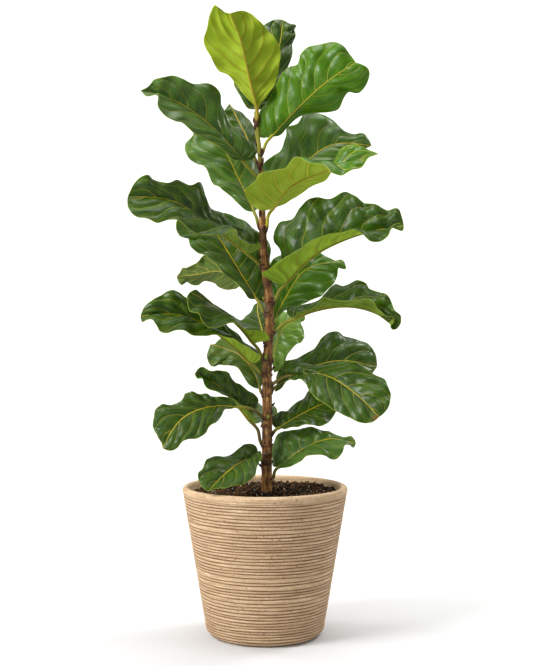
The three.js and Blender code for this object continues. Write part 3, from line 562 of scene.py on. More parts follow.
            (324, 455.8), (331, 459), (337, 458.7), (342, 454), (345.5, 445), (350, 445.3),
            (353.5, 447.8),
        ),
        "right_depth": (-14, -36, -40, -32),
    },
    {
        "foot": 313, "tone": "dark", "arch": (0.12, 0.12), "wave": (3, 210),
        "rib": ((254, 457, -25), (241, 462, -62), (225, 474, -98), (208, 491.5, -130)),
        "left": (
            (258, 455), (261, 451.5), (262, 456), (259, 462.5), (257, 468), (255, 475), (249, 481.5),
            (242, 485), (235, 484.8), (227, 488.3), (219, 488.3), (213, 489),
        ),
        "left_depth": (-42, -82, -112, -130),
        "right": (
            (256.5, 454.5), (257.3, 449.5), (253.5, 445.2), (247, 444.2), (239, 448.2), (230, 454.7),
            (221, 457.1), (212, 457.3), (205.5, 461), (202.5, 468.5), (197.8, 474), (199, 481),
            (202.5, 487.5),
        ),
        "right_depth": (-16, -42, -78, -114),
    },
]

# ---- Finishes -----------------------------------------------------------------------------------


def linear(code):
    """An sRGB hex colour as the linear colour that a shader takes."""
    channels = [int(code[i : i + 2], 16) / 255 for i in (1, 3, 5)]
    return [c / 12.92 if c <= 0.04045 else ((c + 0.055) / 1.055) ** 2.4 for c in channels] + [1.0]


def add(tree, kind, inputs, stops=(), **settings):
    """Adds a shader node with its settings and a ramp's stops, and sets or links its inputs."""
    made = tree.nodes.new("ShaderNode" + kind)
    for name, value in settings.items():
        setattr(made, name, value)
    for _ in stops[2:]:
        made.color_ramp.elements.new(0.5)
    for number, (share, colour) in enumerate(stops):
        made.color_ramp.elements[number].position = share
        made.color_ramp.elements[number].color = colour
    for socket, value in inputs.items():
        if isinstance(value, bpy.types.NodeSocket):
            tree.links.new(value, made.inputs[socket])
        else:
            made.inputs[socket].default_value = value
    return made.outputs


def finish(name):
    """A new material and its empty node tree."""
    material = bpy.data.materials.new(name)
    material.use_nodes = True
    tree = material.node_tree
    tree.nodes.clear()
    return material, tree


def leaf_finish(name, palette):
    """Waxy living leaf: glossy and deep green above, matt and paler below, with a web of pale veins."""
    material, tree = finish(name)
    tint = {part: linear(code) for part, code in palette.items()}
    blade = add(tree, "Attribute", {}, attribute_name="blade_place")["Vector"]
    vein, across, along = add(tree, "SeparateXYZ", {0: blade})
    rim = add(tree, "Attribute", {}, attribute_name="blade_rim")["Vector"]
    edge, under, stalk = add(tree, "SeparateXYZ", {0: rim})
    stem = add(tree, "Attribute", {}, attribute_name="stalk_place")["Vector"]
    reach, woody, shade = add(tree, "SeparateXYZ", {0: stem})
    # Midrib: its line is 2 to 3 mm wide at the blade's base and half that 190 mm further on.
    slim = add(tree, "Math", {0: along, 1: 1 / 190, 2: 1.0}, operation="MULTIPLY_ADD")[0]
    away = add(tree, "Math", {0: across, 1: slim}, operation="MULTIPLY")[0]
    rib_line = add(tree, "MapRange", {0: away, 1: 1.5, 2: 0.7}, interpolation_type="SMOOTHSTEP")[0]
    # Lateral veins, some 34 mm apart: 2 mm wide at the midrib and half of that at the margin. The real
    # ones are about 1 mm wide, too fine to show.
    near = add(tree, "Math", {0: vein, 1: 0.5}, operation="PINGPONG")[0]
    slimmer = add(tree, "Math", {0: across, 1: 0.45, 2: 34.0}, operation="MULTIPLY_ADD")[0]
    beside = add(tree, "Math", {0: near, 1: slimmer}, operation="MULTIPLY")[0]
    side_line = add(tree, "MapRange", {0: beside, 1: 1.6, 2: 0.6}, interpolation_type="SMOOTHSTEP")[0]
    side_strength = add(tree, "MapRange", {0: under, 3: 0.6, 4: 0.95})[0]
    side_share = add(tree, "Math", {0: side_line, 1: side_strength}, operation="MULTIPLY")[0]
    # Painted shade: near a lateral vein the tissue is painted up to 0.3 of the way to a darker tint, as in
    # the valley beside the vein.
    vein_valley_shade_share = add(tree, "MapRange", {0: beside, 1: 7.0, 2: 0.0, 3: 0.0, 4: 0.3})[0]
    # The finest veins net the tissue in cells 6.5 mm long, 4.5 of them between two lateral veins.
    cell_x = add(tree, "Math", {0: vein, 1: 4.5}, operation="MULTIPLY")[0]
    cell_y = add(tree, "Math", {0: across, 1: 1 / 6.5}, operation="MULTIPLY")[0]
    cells = add(tree, "CombineXYZ", {0: cell_x, 1: cell_y, 2: shade})[0]
    netting = add(tree, "TexVoronoi", {"Vector": cells, "Scale": 1.0}, feature="DISTANCE_TO_EDGE")[0]
    net_line = add(tree, "MapRange", {0: netting, 1: 0.09, 2: 0.0}, interpolation_type="SMOOTHSTEP")[0]
    net_share = add(tree, "Math", {0: net_line, 1: 0.13}, operation="MULTIPLY")[0]
    # The margin has a pale line 1 mm wide: a painted highlight along the edge.
    margin_highlight_line = add(tree, "MapRange", {0: edge, 1: 1.5, 2: 0.5}, interpolation_type="SMOOTHSTEP")[0]
    margin_highlight_share = add(tree, "Math", {0: margin_highlight_line, 1: 0.8}, operation="MULTIPLY")[0]
    # Tissue: two greens in streaks some 13 mm wide and 40 mm long that follow the lateral veins.
    run = add(tree, "Math", {0: vein, 1: 2.6}, operation="MULTIPLY")[0]
    reach_out = add(tree, "Math", {0: across, 1: 1 / 40}, operation="MULTIPLY")[0]
    drawn = add(tree, "CombineXYZ", {0: run, 1: reach_out, 2: shade})[0]
    clouds = add(tree, "TexNoise", {"Vector": drawn, "Scale": 1.0, "Detail": 3.0})[0]
    tops = add(tree, "ValToRGB", {0: clouds}, [(0.34, tint["deep"]), (0.66, tint["green"])])[0]
    pales = [(0.3, tint["under"]), (0.7, tint["under_light"])]
    unders = add(tree, "ValToRGB", {0: clouds}, pales)[0]
    flesh = add(tree, "Mix", {0: under, 6: tops, 7: unders}, data_type="RGBA")[2]
    # Over the tissue lie the painted shade beside the veins, the veins, the margin's painted highlight
    # and the dry brown patch of a scorched tip.
    dry = add(tree, "Attribute", {}, attribute_name="scorch")["Fac"]
    layers = (
        (vein_valley_shade_share, tint["vein_valley_shade"]),
        (net_share, tint["vein"]),
        (side_share, tint["vein"]),
        (rib_line, tint["rib"]),
        (margin_highlight_share, tint["edge"]),
        (dry, linear("#9a5218")),
    )
    for share, paint in layers:
        flesh = add(tree, "Mix", {0: share, 6: flesh, 7: paint}, data_type="RGBA")[2]
    # Stalk: olive, turning to bark over its last 9 mm, or from 60 mm out where it's old.
    barky = add(tree, "MapRange", {0: reach, 1: 11.0, 2: 2.0}, interpolation_type="SMOOTHSTEP")[0]
    old = add(tree, "MapRange", {0: reach, 1: 60.0, 2: 35.0})[0]
    old = add(tree, "Math", {0: old, 1: woody}, operation="MULTIPLY")[0]
    barky = add(tree, "Math", {0: barky, 1: old}, operation="MAXIMUM")[0]
    wood = add(tree, "Mix", {0: barky, 6: tint["stalk"], 7: linear("#4a2f20")}, data_type="RGBA")[2]
    colour = add(tree, "Mix", {0: stalk, 6: flesh, 7: wood}, data_type="RGBA")[2]
    # Wax: soft gloss above in smears of 18 mm, hardly any below.
    spot = add(tree, "TexCoord", {})["Object"]
    smears = add(tree, "TexNoise", {"Vector": spot, "Scale": 1 / (18 * MM), "Detail": 2.0})[0]
    sheen = add(tree, "MapRange", {0: smears, 1: 0.3, 2: 0.7, 3: 0.29, 4: 0.45})[0]
    rough = add(tree, "Mix", {0: under, 2: sheen, 3: 0.62}, data_type="FLOAT")[0]
    # Veins are sunk above and stand out below, and the tissue is quilted between the finest ones.
    turned = add(tree, "Math", {0: under, 1: 2.0, 2: -1.0}, operation="MULTIPLY_ADD")[0]
    lines = add(tree, "Math", {0: netting, 1: -0.8, 2: side_line}, operation="MULTIPLY_ADD")[0]
    relief = add(tree, "Math", {0: lines, 1: turned}, operation="MULTIPLY")[0]
    bump = add(tree, "Bump", {"Height": relief, "Strength": 0.6, "Distance": 0.7 * MM})[0]
    shader = {
        "Base Color": colour,
        "Roughness": rough,
        "Normal": bump,
        "IOR": 1.42,
        "Specular IOR Level": 0.44,
    }
    skin = add(tree, "BsdfPrincipled", shader)[0]
    # Light comes through the thin blade, brighter and yellower than off it.
    glow = add(tree, "HueSaturation", {"Value": 1.8, "Saturation": 1.1, "Color": colour})[0]
    through = add(tree, "BsdfTranslucent", {"Color": glow, "Normal": bump})[0]
    share = add(tree, "Math", {0: stalk, 1: -0.26, 2: 0.26}, operation="MULTIPLY_ADD")[0]
    surface = add(tree, "MixShader", {0: share, 1: skin, 2: through})[0]
    add(tree, "OutputMaterial", {0: surface})
    return material


def pot_finish():
    """Cast stone and fibre: dry and sandy, with grit, streaks along the ridges and painted shade in the
    grooves.
    """
    material, tree = finish("cast_stone_fibre")
    spot = add(tree, "TexCoord", {})["Object"]
    groove = add(tree, "Attribute", {}, attribute_name="groove")["Fac"]
    # Streaks 40 mm long and 3 mm high run along the ridges.
    streak = (1 / (40 * MM), 1 / (40 * MM), 1 / (3 * MM))
    drawn = add(tree, "Mapping", {0: spot, 3: streak})[0]
    streaks = add(tree, "TexNoise", {"Vector": drawn, "Scale": 1.0, "Detail": 4.0})[0]
    sands = [(0.25, linear("#ac8c69")), (0.5, linear("#c0a27f")), (0.75, linear("#d6bc9a"))]
    body = add(tree, "ValToRGB", {0: streaks}, sands)[0]
    # Painted shade: the grooves are painted dark brown, up to 0.96 of the way, the deeper ones more.
    groove_shade = add(tree, "MapRange", {0: groove, 1: 0.14, 2: 0.8, 3: 0.0, 4: 0.96})[0]
    body = add(tree, "Mix", {0: groove_shade, 6: body, 7: linear("#664424")}, data_type="RGBA")[2]
    # Light and dark grit. The real grit is under 1 mm, so it's drawn 2 mm coarse to show.
    grit = add(tree, "TexNoise", {"Vector": spot, "Scale": 1 / (2.2 * MM), "Detail": 3.0})[0]
    grit_share = add(tree, "MapRange", {0: grit, 1: 0.35, 2: 0.65, 3: 0.78, 4: 1.16})[0]
    gritty = {0: 1.0, 6: body, 7: grit_share}
    body = add(tree, "Mix", gritty, data_type="RGBA", blend_type="MULTIPLY")[2]
    # Pits of 2 to 3 mm, some 11 mm apart.
    pits = add(tree, "TexVoronoi", {"Vector": spot, "Scale": 1 / (11 * MM), "Randomness": 1.0})[0]
    pit = add(tree, "MapRange", {0: pits, 1: 0.13, 2: 0.08})[0]
    body = add(tree, "Mix", {0: pit, 6: body, 7: linear("#5b4532")}, data_type="RGBA")[2]
    rise = add(tree, "Math", {0: grit, 1: pit}, operation="SUBTRACT")[0]
    bump = add(tree, "Bump", {"Height": rise, "Strength": 0.7, "Distance": 0.5 * MM})[0]
    shader = {"Base Color": body, "Roughness": 0.88, "IOR": 1.5, "Normal": bump}
    surface = add(tree, "BsdfPrincipled", shader)[0]
    add(tree, "OutputMaterial", {0: surface})
    return material


def bark_finish():
    """Young fig bark: brown and dry below, turning to green skin near the top, almost black at scars, with
    painted shade in its hollows.
    """
    material, tree = finish("fig_bark")
    spot = add(tree, "TexCoord", {})["Object"]
    marks = add(tree, "Attribute", {}, attribute_name="bark_place")["Vector"]
    scar_and_hollow_shade, green, _ = add(tree, "SeparateXYZ", {0: marks})
    # Fissures 22 mm long and 2.5 mm wide run up the stem, and weathered patches are 20 mm across.
    fissure = (1 / (2.5 * MM), 1 / (2.5 * MM), 1 / (22 * MM))
    drawn = add(tree, "Mapping", {0: spot, 3: fissure})[0]
    fissures = add(tree, "TexNoise", {"Vector": drawn, "Scale": 1.0, "Detail": 4.0})[0]
    patches = add(tree, "TexNoise", {"Vector": spot, "Scale": 1 / (20 * MM), "Detail": 3.0})[0]
    browns = [(0.32, linear("#482a10")), (0.5, linear("#8a5c2c")), (0.68, linear("#c49856"))]
    wood = add(tree, "ValToRGB", {0: fissures}, browns)[0]
    weathered = add(tree, "MapRange", {0: patches, 1: 0.42, 2: 0.62, 3: 0.0, 4: 0.78})[0]
    wood = add(tree, "Mix", {0: weathered, 6: wood, 7: linear("#3a210f")}, data_type="RGBA")[2]
    skins = [(0.3, linear("#6c6a1e")), (0.7, linear("#a3a23a"))]
    skin = add(tree, "ValToRGB", {0: fissures}, skins)[0]
    wood = add(tree, "Mix", {0: green, 6: wood, 7: skin}, data_type="RGBA")[2]
    # Scars are almost black, and the same near-black is painted into the bark's hollows as painted shade.
    wood = add(tree, "Mix", {0: scar_and_hollow_shade, 6: wood, 7: linear("#2a1811")}, data_type="RGBA")[2]
    bump = add(tree, "Bump", {"Height": fissures, "Strength": 0.6, "Distance": 0.8 * MM})[0]
    shader = {
        "Base Color": wood,
        "Roughness": 0.5,
        "Normal": bump,
        "IOR": 1.45,
        "Specular IOR Level": 0.32,
    }
    surface = add(tree, "BsdfPrincipled", shader)[0]
    add(tree, "OutputMaterial", {0: surface})
    return material


def plain_finish(name, dark, light, grain, rough, spread=0.5):
    """A natural surface in two tones, mottled at a grain in millimetres. spread is how far lumps differ."""
    material, tree = finish(name)
    spot = add(tree, "TexCoord", {})["Object"]
    tone = add(tree, "Attribute", {}, attribute_name="tone")["Fac"]
    mottle = add(tree, "TexNoise", {"Vector": spot, "Scale": 1 / (grain * MM), "Detail": 4.0})[0]
    mixed = add(tree, "Mix", {0: spread, 2: mottle, 3: tone}, data_type="FLOAT")[0]
    colour = add(tree, "ValToRGB", {0: mixed}, [(0.25, linear(dark)), (0.75, linear(light))])[0]
    bump = add(tree, "Bump", {"Height": mottle, "Strength": 0.6, "Distance": 0.6 * MM})[0]
    shader = {
        "Base Color": colour,
        "Roughness": rough,
        "Normal": bump,
        "IOR": 1.45,
        "Specular IOR Level": 0.25,
    }
    surface = add(tree, "BsdfPrincipled", shader)[0]
    add(tree, "OutputMaterial", {0: surface})
    return material


# ---- Pieces -------------------------------------------------------------------------------------


def piece(name, points, faces, material, replaced=(), values=None):
    """A piece from points in millimetres, with what its finish reads at each point."""
    mesh = bpy.data.meshes.new(name)
    mesh.from_pydata((np.asarray(points, float) * MM).tolist(), [], faces)
    for key, value in (values or {}).items():
        value = np.asarray(value, np.float32)
        kind = "FLOAT_VECTOR" if value.ndim == 2 else "FLOAT"
        layer = mesh.attributes.new(key, kind, "POINT")
        layer.data.foreach_set("vector" if value.ndim == 2 else "value", value.ravel())
    mesh.shade_smooth()
    mesh.materials.append(material)
    made = bpy.data.objects.new(name, mesh)
    bpy.context.scene.collection.objects.link(made)
    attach(made, "root")
    if replaced:
        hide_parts(*replaced)
    return made


def grid_faces(rows, columns, first=0, closed=False):
    """Quads between neighbouring rows of points; a closed grid joins its last column to its first."""
    row = np.arange(rows - 1)[:, None] * columns
    column = np.arange(columns if closed else columns - 1)[None, :]
    after = (column + 1) % columns
    corners = [row + column, row + after, row + after + columns, row + column + columns]
    return (np.stack(corners, axis=-1).reshape(-1, 4) + first).tolist()


def unit(vectors):
    """Vectors cut or stretched to length 1."""
    return vectors / np.maximum(np.linalg.norm(vectors, axis=-1, keepdims=True), 1e-9)


def smoothstep(low, high, value):
    """0 below low, 1 above high and a smooth rise between."""
    share = np.clip((value - low) / (high - low), 0, 1)
    return share * share * (3 - 2 * share)


def smooth_line(knots, points, at):
    """Points on a smooth curve that passes through the given points at the given knots."""
    knots = np.asarray(knots, float)
    points = np.asarray(points, float)
    spans = np.diff(knots)
    slopes = np.diff(points, axis=0) / spans[:, None]
    tangents = np.empty_like(points)
    weighted = slopes[:-1] * spans[1:, None] + slopes[1:] * spans[:-1, None]
    tangents[1:-1] = weighted / (spans[:-1] + spans[1:])[:, None]
    tangents[0] = 1.5 * slopes[0] - 0.5 * tangents[1]
    tangents[-1] = 1.5 * slopes[-1] - 0.5 * tangents[-2]
    at = np.atleast_1d(np.asarray(at, float))
    span = np.searchsorted(knots[1:-1], at, side="left")
    t = ((at - knots[span]) / spans[span])[:, None]
    length = spans[span][:, None]
    return (
        points[span] * (2 * t**3 - 3 * t**2 + 1)
        + tangents[span] * (t**3 - 2 * t**2 + t) * length
        + points[span + 1] * (3 * t**2 - 2 * t**3)
        + tangents[span + 1] * (t**3 - t**2) * length
    )


def length_knots(points):
    """The share of the whole length at which each point of a line lies."""
    steps = np.linalg.norm(np.diff(np.asarray(points, float), axis=0), axis=1)
    return np.concatenate([[0], np.cumsum(steps)]) / steps.sum()


def place(column, row, depth):
    """The point that shows at a column and row of the photo and lies at a depth behind the pot's axis."""
    span = PHOTO_WIDTH * CAMERA_LENS / CAMERA_SENSOR
    right = (column - PHOTO_WIDTH / 2) / span
    up = (PHOTO_HEIGHT / 2 - row) / span
    dip = math.radians(CAMERA_DIP)
    away = depth - CAMERA_PLACE[1]
    rise = away * (up - math.tan(dip)) / (1 + up * math.tan(dip))
    forward = away * math.cos(dip) - rise * math.sin(dip)
    return np.array([CAMERA_PLACE[0] + right * forward, depth, CAMERA_PLACE[2] + rise])


def tube(path, radii, sides, first=0):
    """A round closed tube along a path, as points and faces."""
    path = np.asarray(path, float)
    along = unit(np.gradient(path, axis=0))
    spoke = np.cross(along[0], (0.0, 0.0, 1.0))
    if np.linalg.norm(spoke) < 0.1:
        spoke = np.cross(along[0], (1.0, 0.0, 0.0))
    angles = np.arange(sides) * 2 * math.pi / sides
    rings = []
    for centre, ahead, radius in zip(path, along, radii):
        spoke = unit(spoke - ahead * np.dot(spoke, ahead))
        other = np.cross(ahead, spoke)
        ring = np.cos(angles)[:, None] * spoke + np.sin(angles)[:, None] * other
        rings.append(centre + ring * radius)
    faces = grid_faces(len(path), sides, first, closed=True)
    last = first + (len(path) - 1) * sides
    faces.append(list(range(first + sides - 1, first - 1, -1)))
    faces.append(list(range(last, last + sides)))
    return np.concatenate(rings), faces


# ---- Trunk --------------------------------------------------------------------------------------


def trunk_centre(heights):
    """The middle of the trunk at each height."""
    heights = np.atleast_1d(np.asarray(heights, float))
    line = np.array([(x, 0, z) for x, z in TRUNK_LINE], float)
    centre = smooth_line(line[:, 2], line, np.clip(heights, line[0, 2], line[-1, 2]))
    centre[:, 2] = heights
    return centre


def trunk_radius(height):
    """The trunk's radius between its knobs."""
    return np.interp(height, *zip(*TRUNK_RADII))


def leaf_foot(leaf):
    """Where a leaf's stalk leaves the trunk, and the angle that it leaves at."""
    centre = trunk_centre(leaf["foot"])[0]
    base = place(*leaf["rib"][0])
    angle = math.atan2(base[1] - centre[1], base[0] - centre[0])
    out = np.array([math.cos(angle), math.sin(angle), 0])
    return centre + out * trunk_radius(leaf["foot"]), angle


def trunk_marks():
    """Nodes and old leaf scars on the bark: height, angle, size and how dark each one is."""
    marks = []
    for leaf in LEAVES:
        size = SCAR_SIZE * trunk_radius(leaf["foot"])
        marks.append((leaf["foot"] - SCAR_DROP, leaf_foot(leaf)[1], size, 1.0))
    for index in range(KNOB_COUNT):
        height = KNOB_LOW + (KNOB_HIGH - KNOB_LOW) * index / (KNOB_COUNT - 1)
        size = KNOB_SIZE * trunk_radius(height)
        marks.append((height, index * GOLDEN_TURN, size, KNOB_DARKNESS))
    return marks


def bark_roughness(heights, angles):
    """How far the bark stands in or out at each height and angle: lumps some 9 mm high."""
    rows = []
    for height in heights:
        spots = [(math.cos(a) * 3.1, math.sin(a) * 3.1, height / 9) for a in angles]
        rows.append([noise.fractal(Vector(spot), 1.0, 2.0, 4) for spot in spots])
    return np.array(rows)


def trunk(bark):
    """The woody stem with a rough skin, swollen nodes, ring scars and knobs."""
    rows = int((TRUNK_TOP - TRUNK_FOOT) / TRUNK_ROW)
    heights = np.linspace(TRUNK_FOOT, TRUNK_TOP, rows)
    angles = np.arange(TRUNK_SIDES) * 2 * math.pi / TRUNK_SIDES
    radius = np.repeat(trunk_radius(heights)[:, None], TRUNK_SIDES, axis=1)
    scar_and_hollow_shade = np.zeros_like(radius)
    # A mark is a lump with a ring just under it that fades round the stem.
    for height, angle, size, dark in trunk_marks():
        turn = (angles[None, :] - angle + math.pi) % (2 * math.pi) - math.pi
        side = turn * trunk_radius(height)
        rise = heights[:, None] - height
        lump = np.exp(-(side**2 / (1.3 * size) ** 2 + rise**2 / (0.9 * size) ** 2))
        round_it = np.exp(-((side / (2.6 * size)) ** 2))
        ring = np.exp(-(((rise + 0.3 * size) / RING_WIDTH) ** 2)) * round_it
        radius += 0.6 * size * lump + RING_HEIGHT * ring
        scar_and_hollow_shade = np.maximum(scar_and_hollow_shade, dark * np.maximum(lump, ring))
    roughness = bark_roughness(heights, angles)
    radius *= 1 + BARK_ROUGHNESS * roughness
    # Painted shade: where the bark sinks in, it gets up to 0.35 of the scars' near-black.
    scar_and_hollow_shade = np.clip(scar_and_hollow_shade + 0.35 * np.maximum(0, -roughness), 0, 1)
    centre = trunk_centre(heights)
    spoke = np.stack([np.cos(angles), np.sin(angles), np.zeros_like(angles)], axis=-1)
    points = (centre[:, None, :] + spoke[None, :, :] * radius[:, :, None]).reshape(-1, 3)
    green = np.repeat(smoothstep(*TRUNK_GREEN, heights)[:, None], TRUNK_SIDES, axis=1)
    green = np.clip(green + 0.3 * roughness * (green > 0), 0, 1) * (1 - scar_and_hollow_shade)
    marks = np.stack([scar_and_hollow_shade, green, np.zeros_like(scar_and_hollow_shade)], axis=-1).reshape(-1, 3)
    faces = grid_faces(rows, TRUNK_SIDES, closed=True)
    last = (rows - 1) * TRUNK_SIDES
    faces.append(list(range(TRUNK_SIDES - 1, -1, -1)))
    faces.append(list(range(last, last + TRUNK_SIDES)))
    return piece("trunk_bark", points, faces, bark, ["trunk"], {"bark_place": marks})


def spikes(name, rows, material, curl):
    """Pointed scales, buds or stubs sunk into the bark: each row's height, angle, length, radius, lean."""
    points, faces, tones = [], [], []
    steps = np.linspace(0, 1, SPIKE_STEPS)
    for number, (height, angle, length, radius, lean) in enumerate(rows):
        out = np.array([math.cos(angle), math.sin(angle), 0])
        start = trunk_centre(height)[0] + out * (trunk_radius(height) - 0.6 * radius)
        tilt = lean * (1 - curl * steps)
        ahead = np.sin(tilt)[:, None] * out[None, :]
        ahead[:, 2] = np.cos(tilt)
        path = start + np.cumsum(ahead, axis=0) * length / SPIKE_STEPS
        radii = radius * np.sqrt(np.maximum(0.02, 1 - steps**1.6)) * (0.8 + 0.3 * np.sin(steps * 3))
        skin, sides = tube(path, radii, SPIKE_SIDES, number * SPIKE_STEPS * SPIKE_SIDES)
        points.append(skin)
        faces += sides
        tones.append(np.repeat(steps, SPIKE_SIDES))
    values = {"tone": np.concatenate(tones)}
    return piece(name, np.concatenate(points), faces, material, values=values)


# ---- Leaves -------------------------------------------------------------------------------------


def margin_line(leaf, side):
    """A margin's points from base to tip, at the judged depths and swinging to and fro about them."""
    rib = leaf["rib"]
    view = [rib[0][:2], *leaf[side], rib[-1][:2]]
    shares = length_knots(view)
    judged = np.array([[rib[0][2]], *[[depth] for depth in leaf[side + "_depth"]], [rib[-1][2]]], float)
    depths = smooth_line(DEPTH_KNOTS, judged, shares)[:, 0]
    flat = np.array([place(*spot, depth) for spot, depth in zip(view, depths)])
    across = flat.mean(axis=0) - (flat[0] + flat[-1]) / 2
    facing = abs(unit(np.cross(flat[-1] - flat[0], across))[1])
    ends = np.minimum(1, np.minimum(shares, 1 - shares) / SWING_END)
    swing = np.where((np.arange(len(view)) + (side == "left")) % 2, -1, 1)
    depths += MARGIN_SWING * facing * ends * swing
    return np.array([place(*spot, depth) for spot, depth in zip(view, depths)])


def half_blade(leaf, side, u, out, on_rib, along):
    """One half of a blade, out from the midrib with its arch and small waves, and its width in each row."""
    number = ("left", "right").index(side)
    line = margin_line(leaf, side)
    across = smooth_line(length_knots(line), line, u) - on_rib
    width = np.linalg.norm(across, axis=1)
    face = unit(np.cross(along, across)) * (1, -1)[number]
    count, phase = leaf["wave"]
    angle = math.radians(phase + number * WAVE_SHIFT)
    travel = 2 * math.pi * (count + EXTRA_WAVES) * u
    finer = np.sin(FINE_WAVE_RATE * travel + FINE_WAVE_TURN * angle)
    ripple = np.sin(travel + angle) + FINE_WAVE * finer
    taper = np.minimum(1, width / FULL_WAVE_WIDTH) * (0.5 + 0.5 * u)
    arch = ARCH_FULLNESS * leaf["arch"][number] * width
    lift = arch[:, None, None] * out * (1 - out)
    lift = lift + (WAVE_HEIGHT * taper * ripple)[:, None, None] * out**WAVE_EDGE
    return on_rib[:, None] + across[:, None] * out + face[:, None] * lift, width


def blade_grid(leaf, turn):
    """The blade's middle surface in rows from base to tip, and each point's place among the veins.

    u runs along the midrib from 0 to 1, and reach out from it to the margin. turn shifts the veins.
    """
    rib = np.array([place(*point) for point in leaf["rib"]])
    knots = length_knots(rib)
    share = np.linspace(BLADE_ENDS, 1 - BLADE_ENDS, BLADE_ROWS)
    u = share - ROW_CROWDING * np.sin(2 * math.pi * share)
    half = np.linspace(0, 1, BLADE_HALF_COLUMNS + 1) ** COLUMN_CROWDING
    v = np.concatenate([-half[:0:-1], half])
    on_rib = smooth_line(knots, rib, u)
    ahead = smooth_line(knots, rib, np.minimum(1, u + 0.01))
    behind = smooth_line(knots, rib, np.maximum(0, u - 0.01))
    along = unit(ahead - behind)
    points = np.empty((len(u), len(v), 3))
    widths = np.empty((len(u), len(v)))
    for side, columns in (("left", v >= 0), ("right", v < 0)):
        out = np.abs(v)[None, columns, None]
        points[:, columns], width = half_blade(leaf, side, u, out, on_rib, along)
        widths[:, columns] = width[:, None]
    swept = u[:, None] - VEIN_SWEEP * np.abs(v)[None, :] ** VEIN_CURVE
    vein = VEIN_COUNT * ((1 + VEIN_CROWDING) * swept - VEIN_CROWDING * swept**2) + turn
    vein += np.where(v < 0, VEIN_STAGGER, 0)[None, :]
    vein += VEIN_UNEVEN * np.sin(VEIN_WANDER[0] * swept + VEIN_WANDER[1] * turn)
    rib_length = np.linalg.norm(np.diff(rib, axis=0), axis=1).sum()
    reach = np.abs(v)[None, :]
    return u, reach, points, widths, vein, rib_length


def face_normals(points):
    """The direction that each point of a grid faces."""
    return unit(np.cross(np.gradient(points, axis=0), np.gradient(points, axis=1)))


def quilted(points, u, reach, widths, near, rib_length, index):
    """A blade's surface raised into puffs between the lateral veins and into shallow dimples."""
    # A puff is highest midway between two veins, flat at the midrib and half as high at the margin.
    puff = (1 - (1 - near) ** 2) * smoothstep(0.02, 0.3, reach) * (1 - 0.5 * smoothstep(0.7, 1, reach))
    spacing = rib_length / VEIN_COUNT
    size = VEIN_PUFF * spacing * np.minimum(1, widths / FULL_WAVE_WIDTH)
    ends = smoothstep(0, 0.1, u)[:, None] * smoothstep(1, 0.9, u)[:, None]
    dimple = np.sin(2 * math.pi * u[:, None] * rib_length / DIMPLE_LENGTH + 2 * index)
    dimple = dimple * np.sin(2 * math.pi * reach * widths / DIMPLE_WIDTH)
    return points + face_normals(points) * ((puff * size + DIMPLE_HEIGHT * dimple) * ends)[:, :, None]


def blade_faces(rows, columns):
    """The faces of a blade's upper side, its underside and the strip that joins them at the margin."""
    count = rows * columns
    upper = np.array(grid_faces(rows, columns))[:, ::-1]
    grid = np.arange(count).reshape(rows, columns)
    loop = np.concatenate([grid[0, :-1], grid[:-1, -1], grid[-1, :0:-1], grid[:0:-1, 0]])
    after = np.roll(loop, -1)
    strip = np.stack([loop, after, after + count, loop + count], axis=-1)
    return upper.tolist() + (upper[:, ::-1] + count).tolist() + strip.tolist()


def stalk_line(leaf, points, normals):
    """The stalk from the trunk to the blade and on under it as the midrib: line, radii and sunk length."""
    foot = leaf_foot(leaf)[0]
    middle = points.shape[1] // 2
    half = BLADE_THICKNESS / 2
    rib_rows = [int(round(share * (len(points) - 1))) for share in np.linspace(*RIB_REACH, RIB_STEPS)]
    rib_sink = half + MIDRIB_SINK * np.linspace(*MIDRIB_RADII, RIB_STEPS)
    rib_points = points[rib_rows, middle] - normals[rib_rows, middle] * rib_sink[:, None]
    base = points[0, middle]
    ahead = unit(points[rib_rows[0], middle] - base)
    bend = base - ahead * STALK_BEND * np.linalg.norm(base - foot)
    joint = base - normals[2, middle] * (half + JOINT_SINK)
    inside = foot + (trunk_centre(leaf["foot"])[0] - foot) * STALK_SUNK - (0, 0, STALK_FOOT_DROP)
    way = np.array([inside, foot, bend, joint, *rib_points])
    knots = length_knots(way)
    at = np.linspace(0, 1, STALK_STEPS)
    # It narrows just clear of the trunk, and again where the stalk ends and the midrib starts.
    spots = [0, knots[1], knots[1] + 0.02, knots[2], knots[3], knots[4], 1]
    thick = [STALK_FOOT_RADIUS] * 2 + [STALK_RADIUS] * 3 + [MIDRIB_RADII[0] * 0.85, MIDRIB_RADII[1]]
    radii = np.interp(at, spots, thick)
    return smooth_line(knots, way, at), radii, np.linalg.norm(foot - inside)


def triples(*values):
    """Three values at each point, side by side."""
    return np.stack(np.broadcast_arrays(*values), axis=-1).reshape(-1, 3)


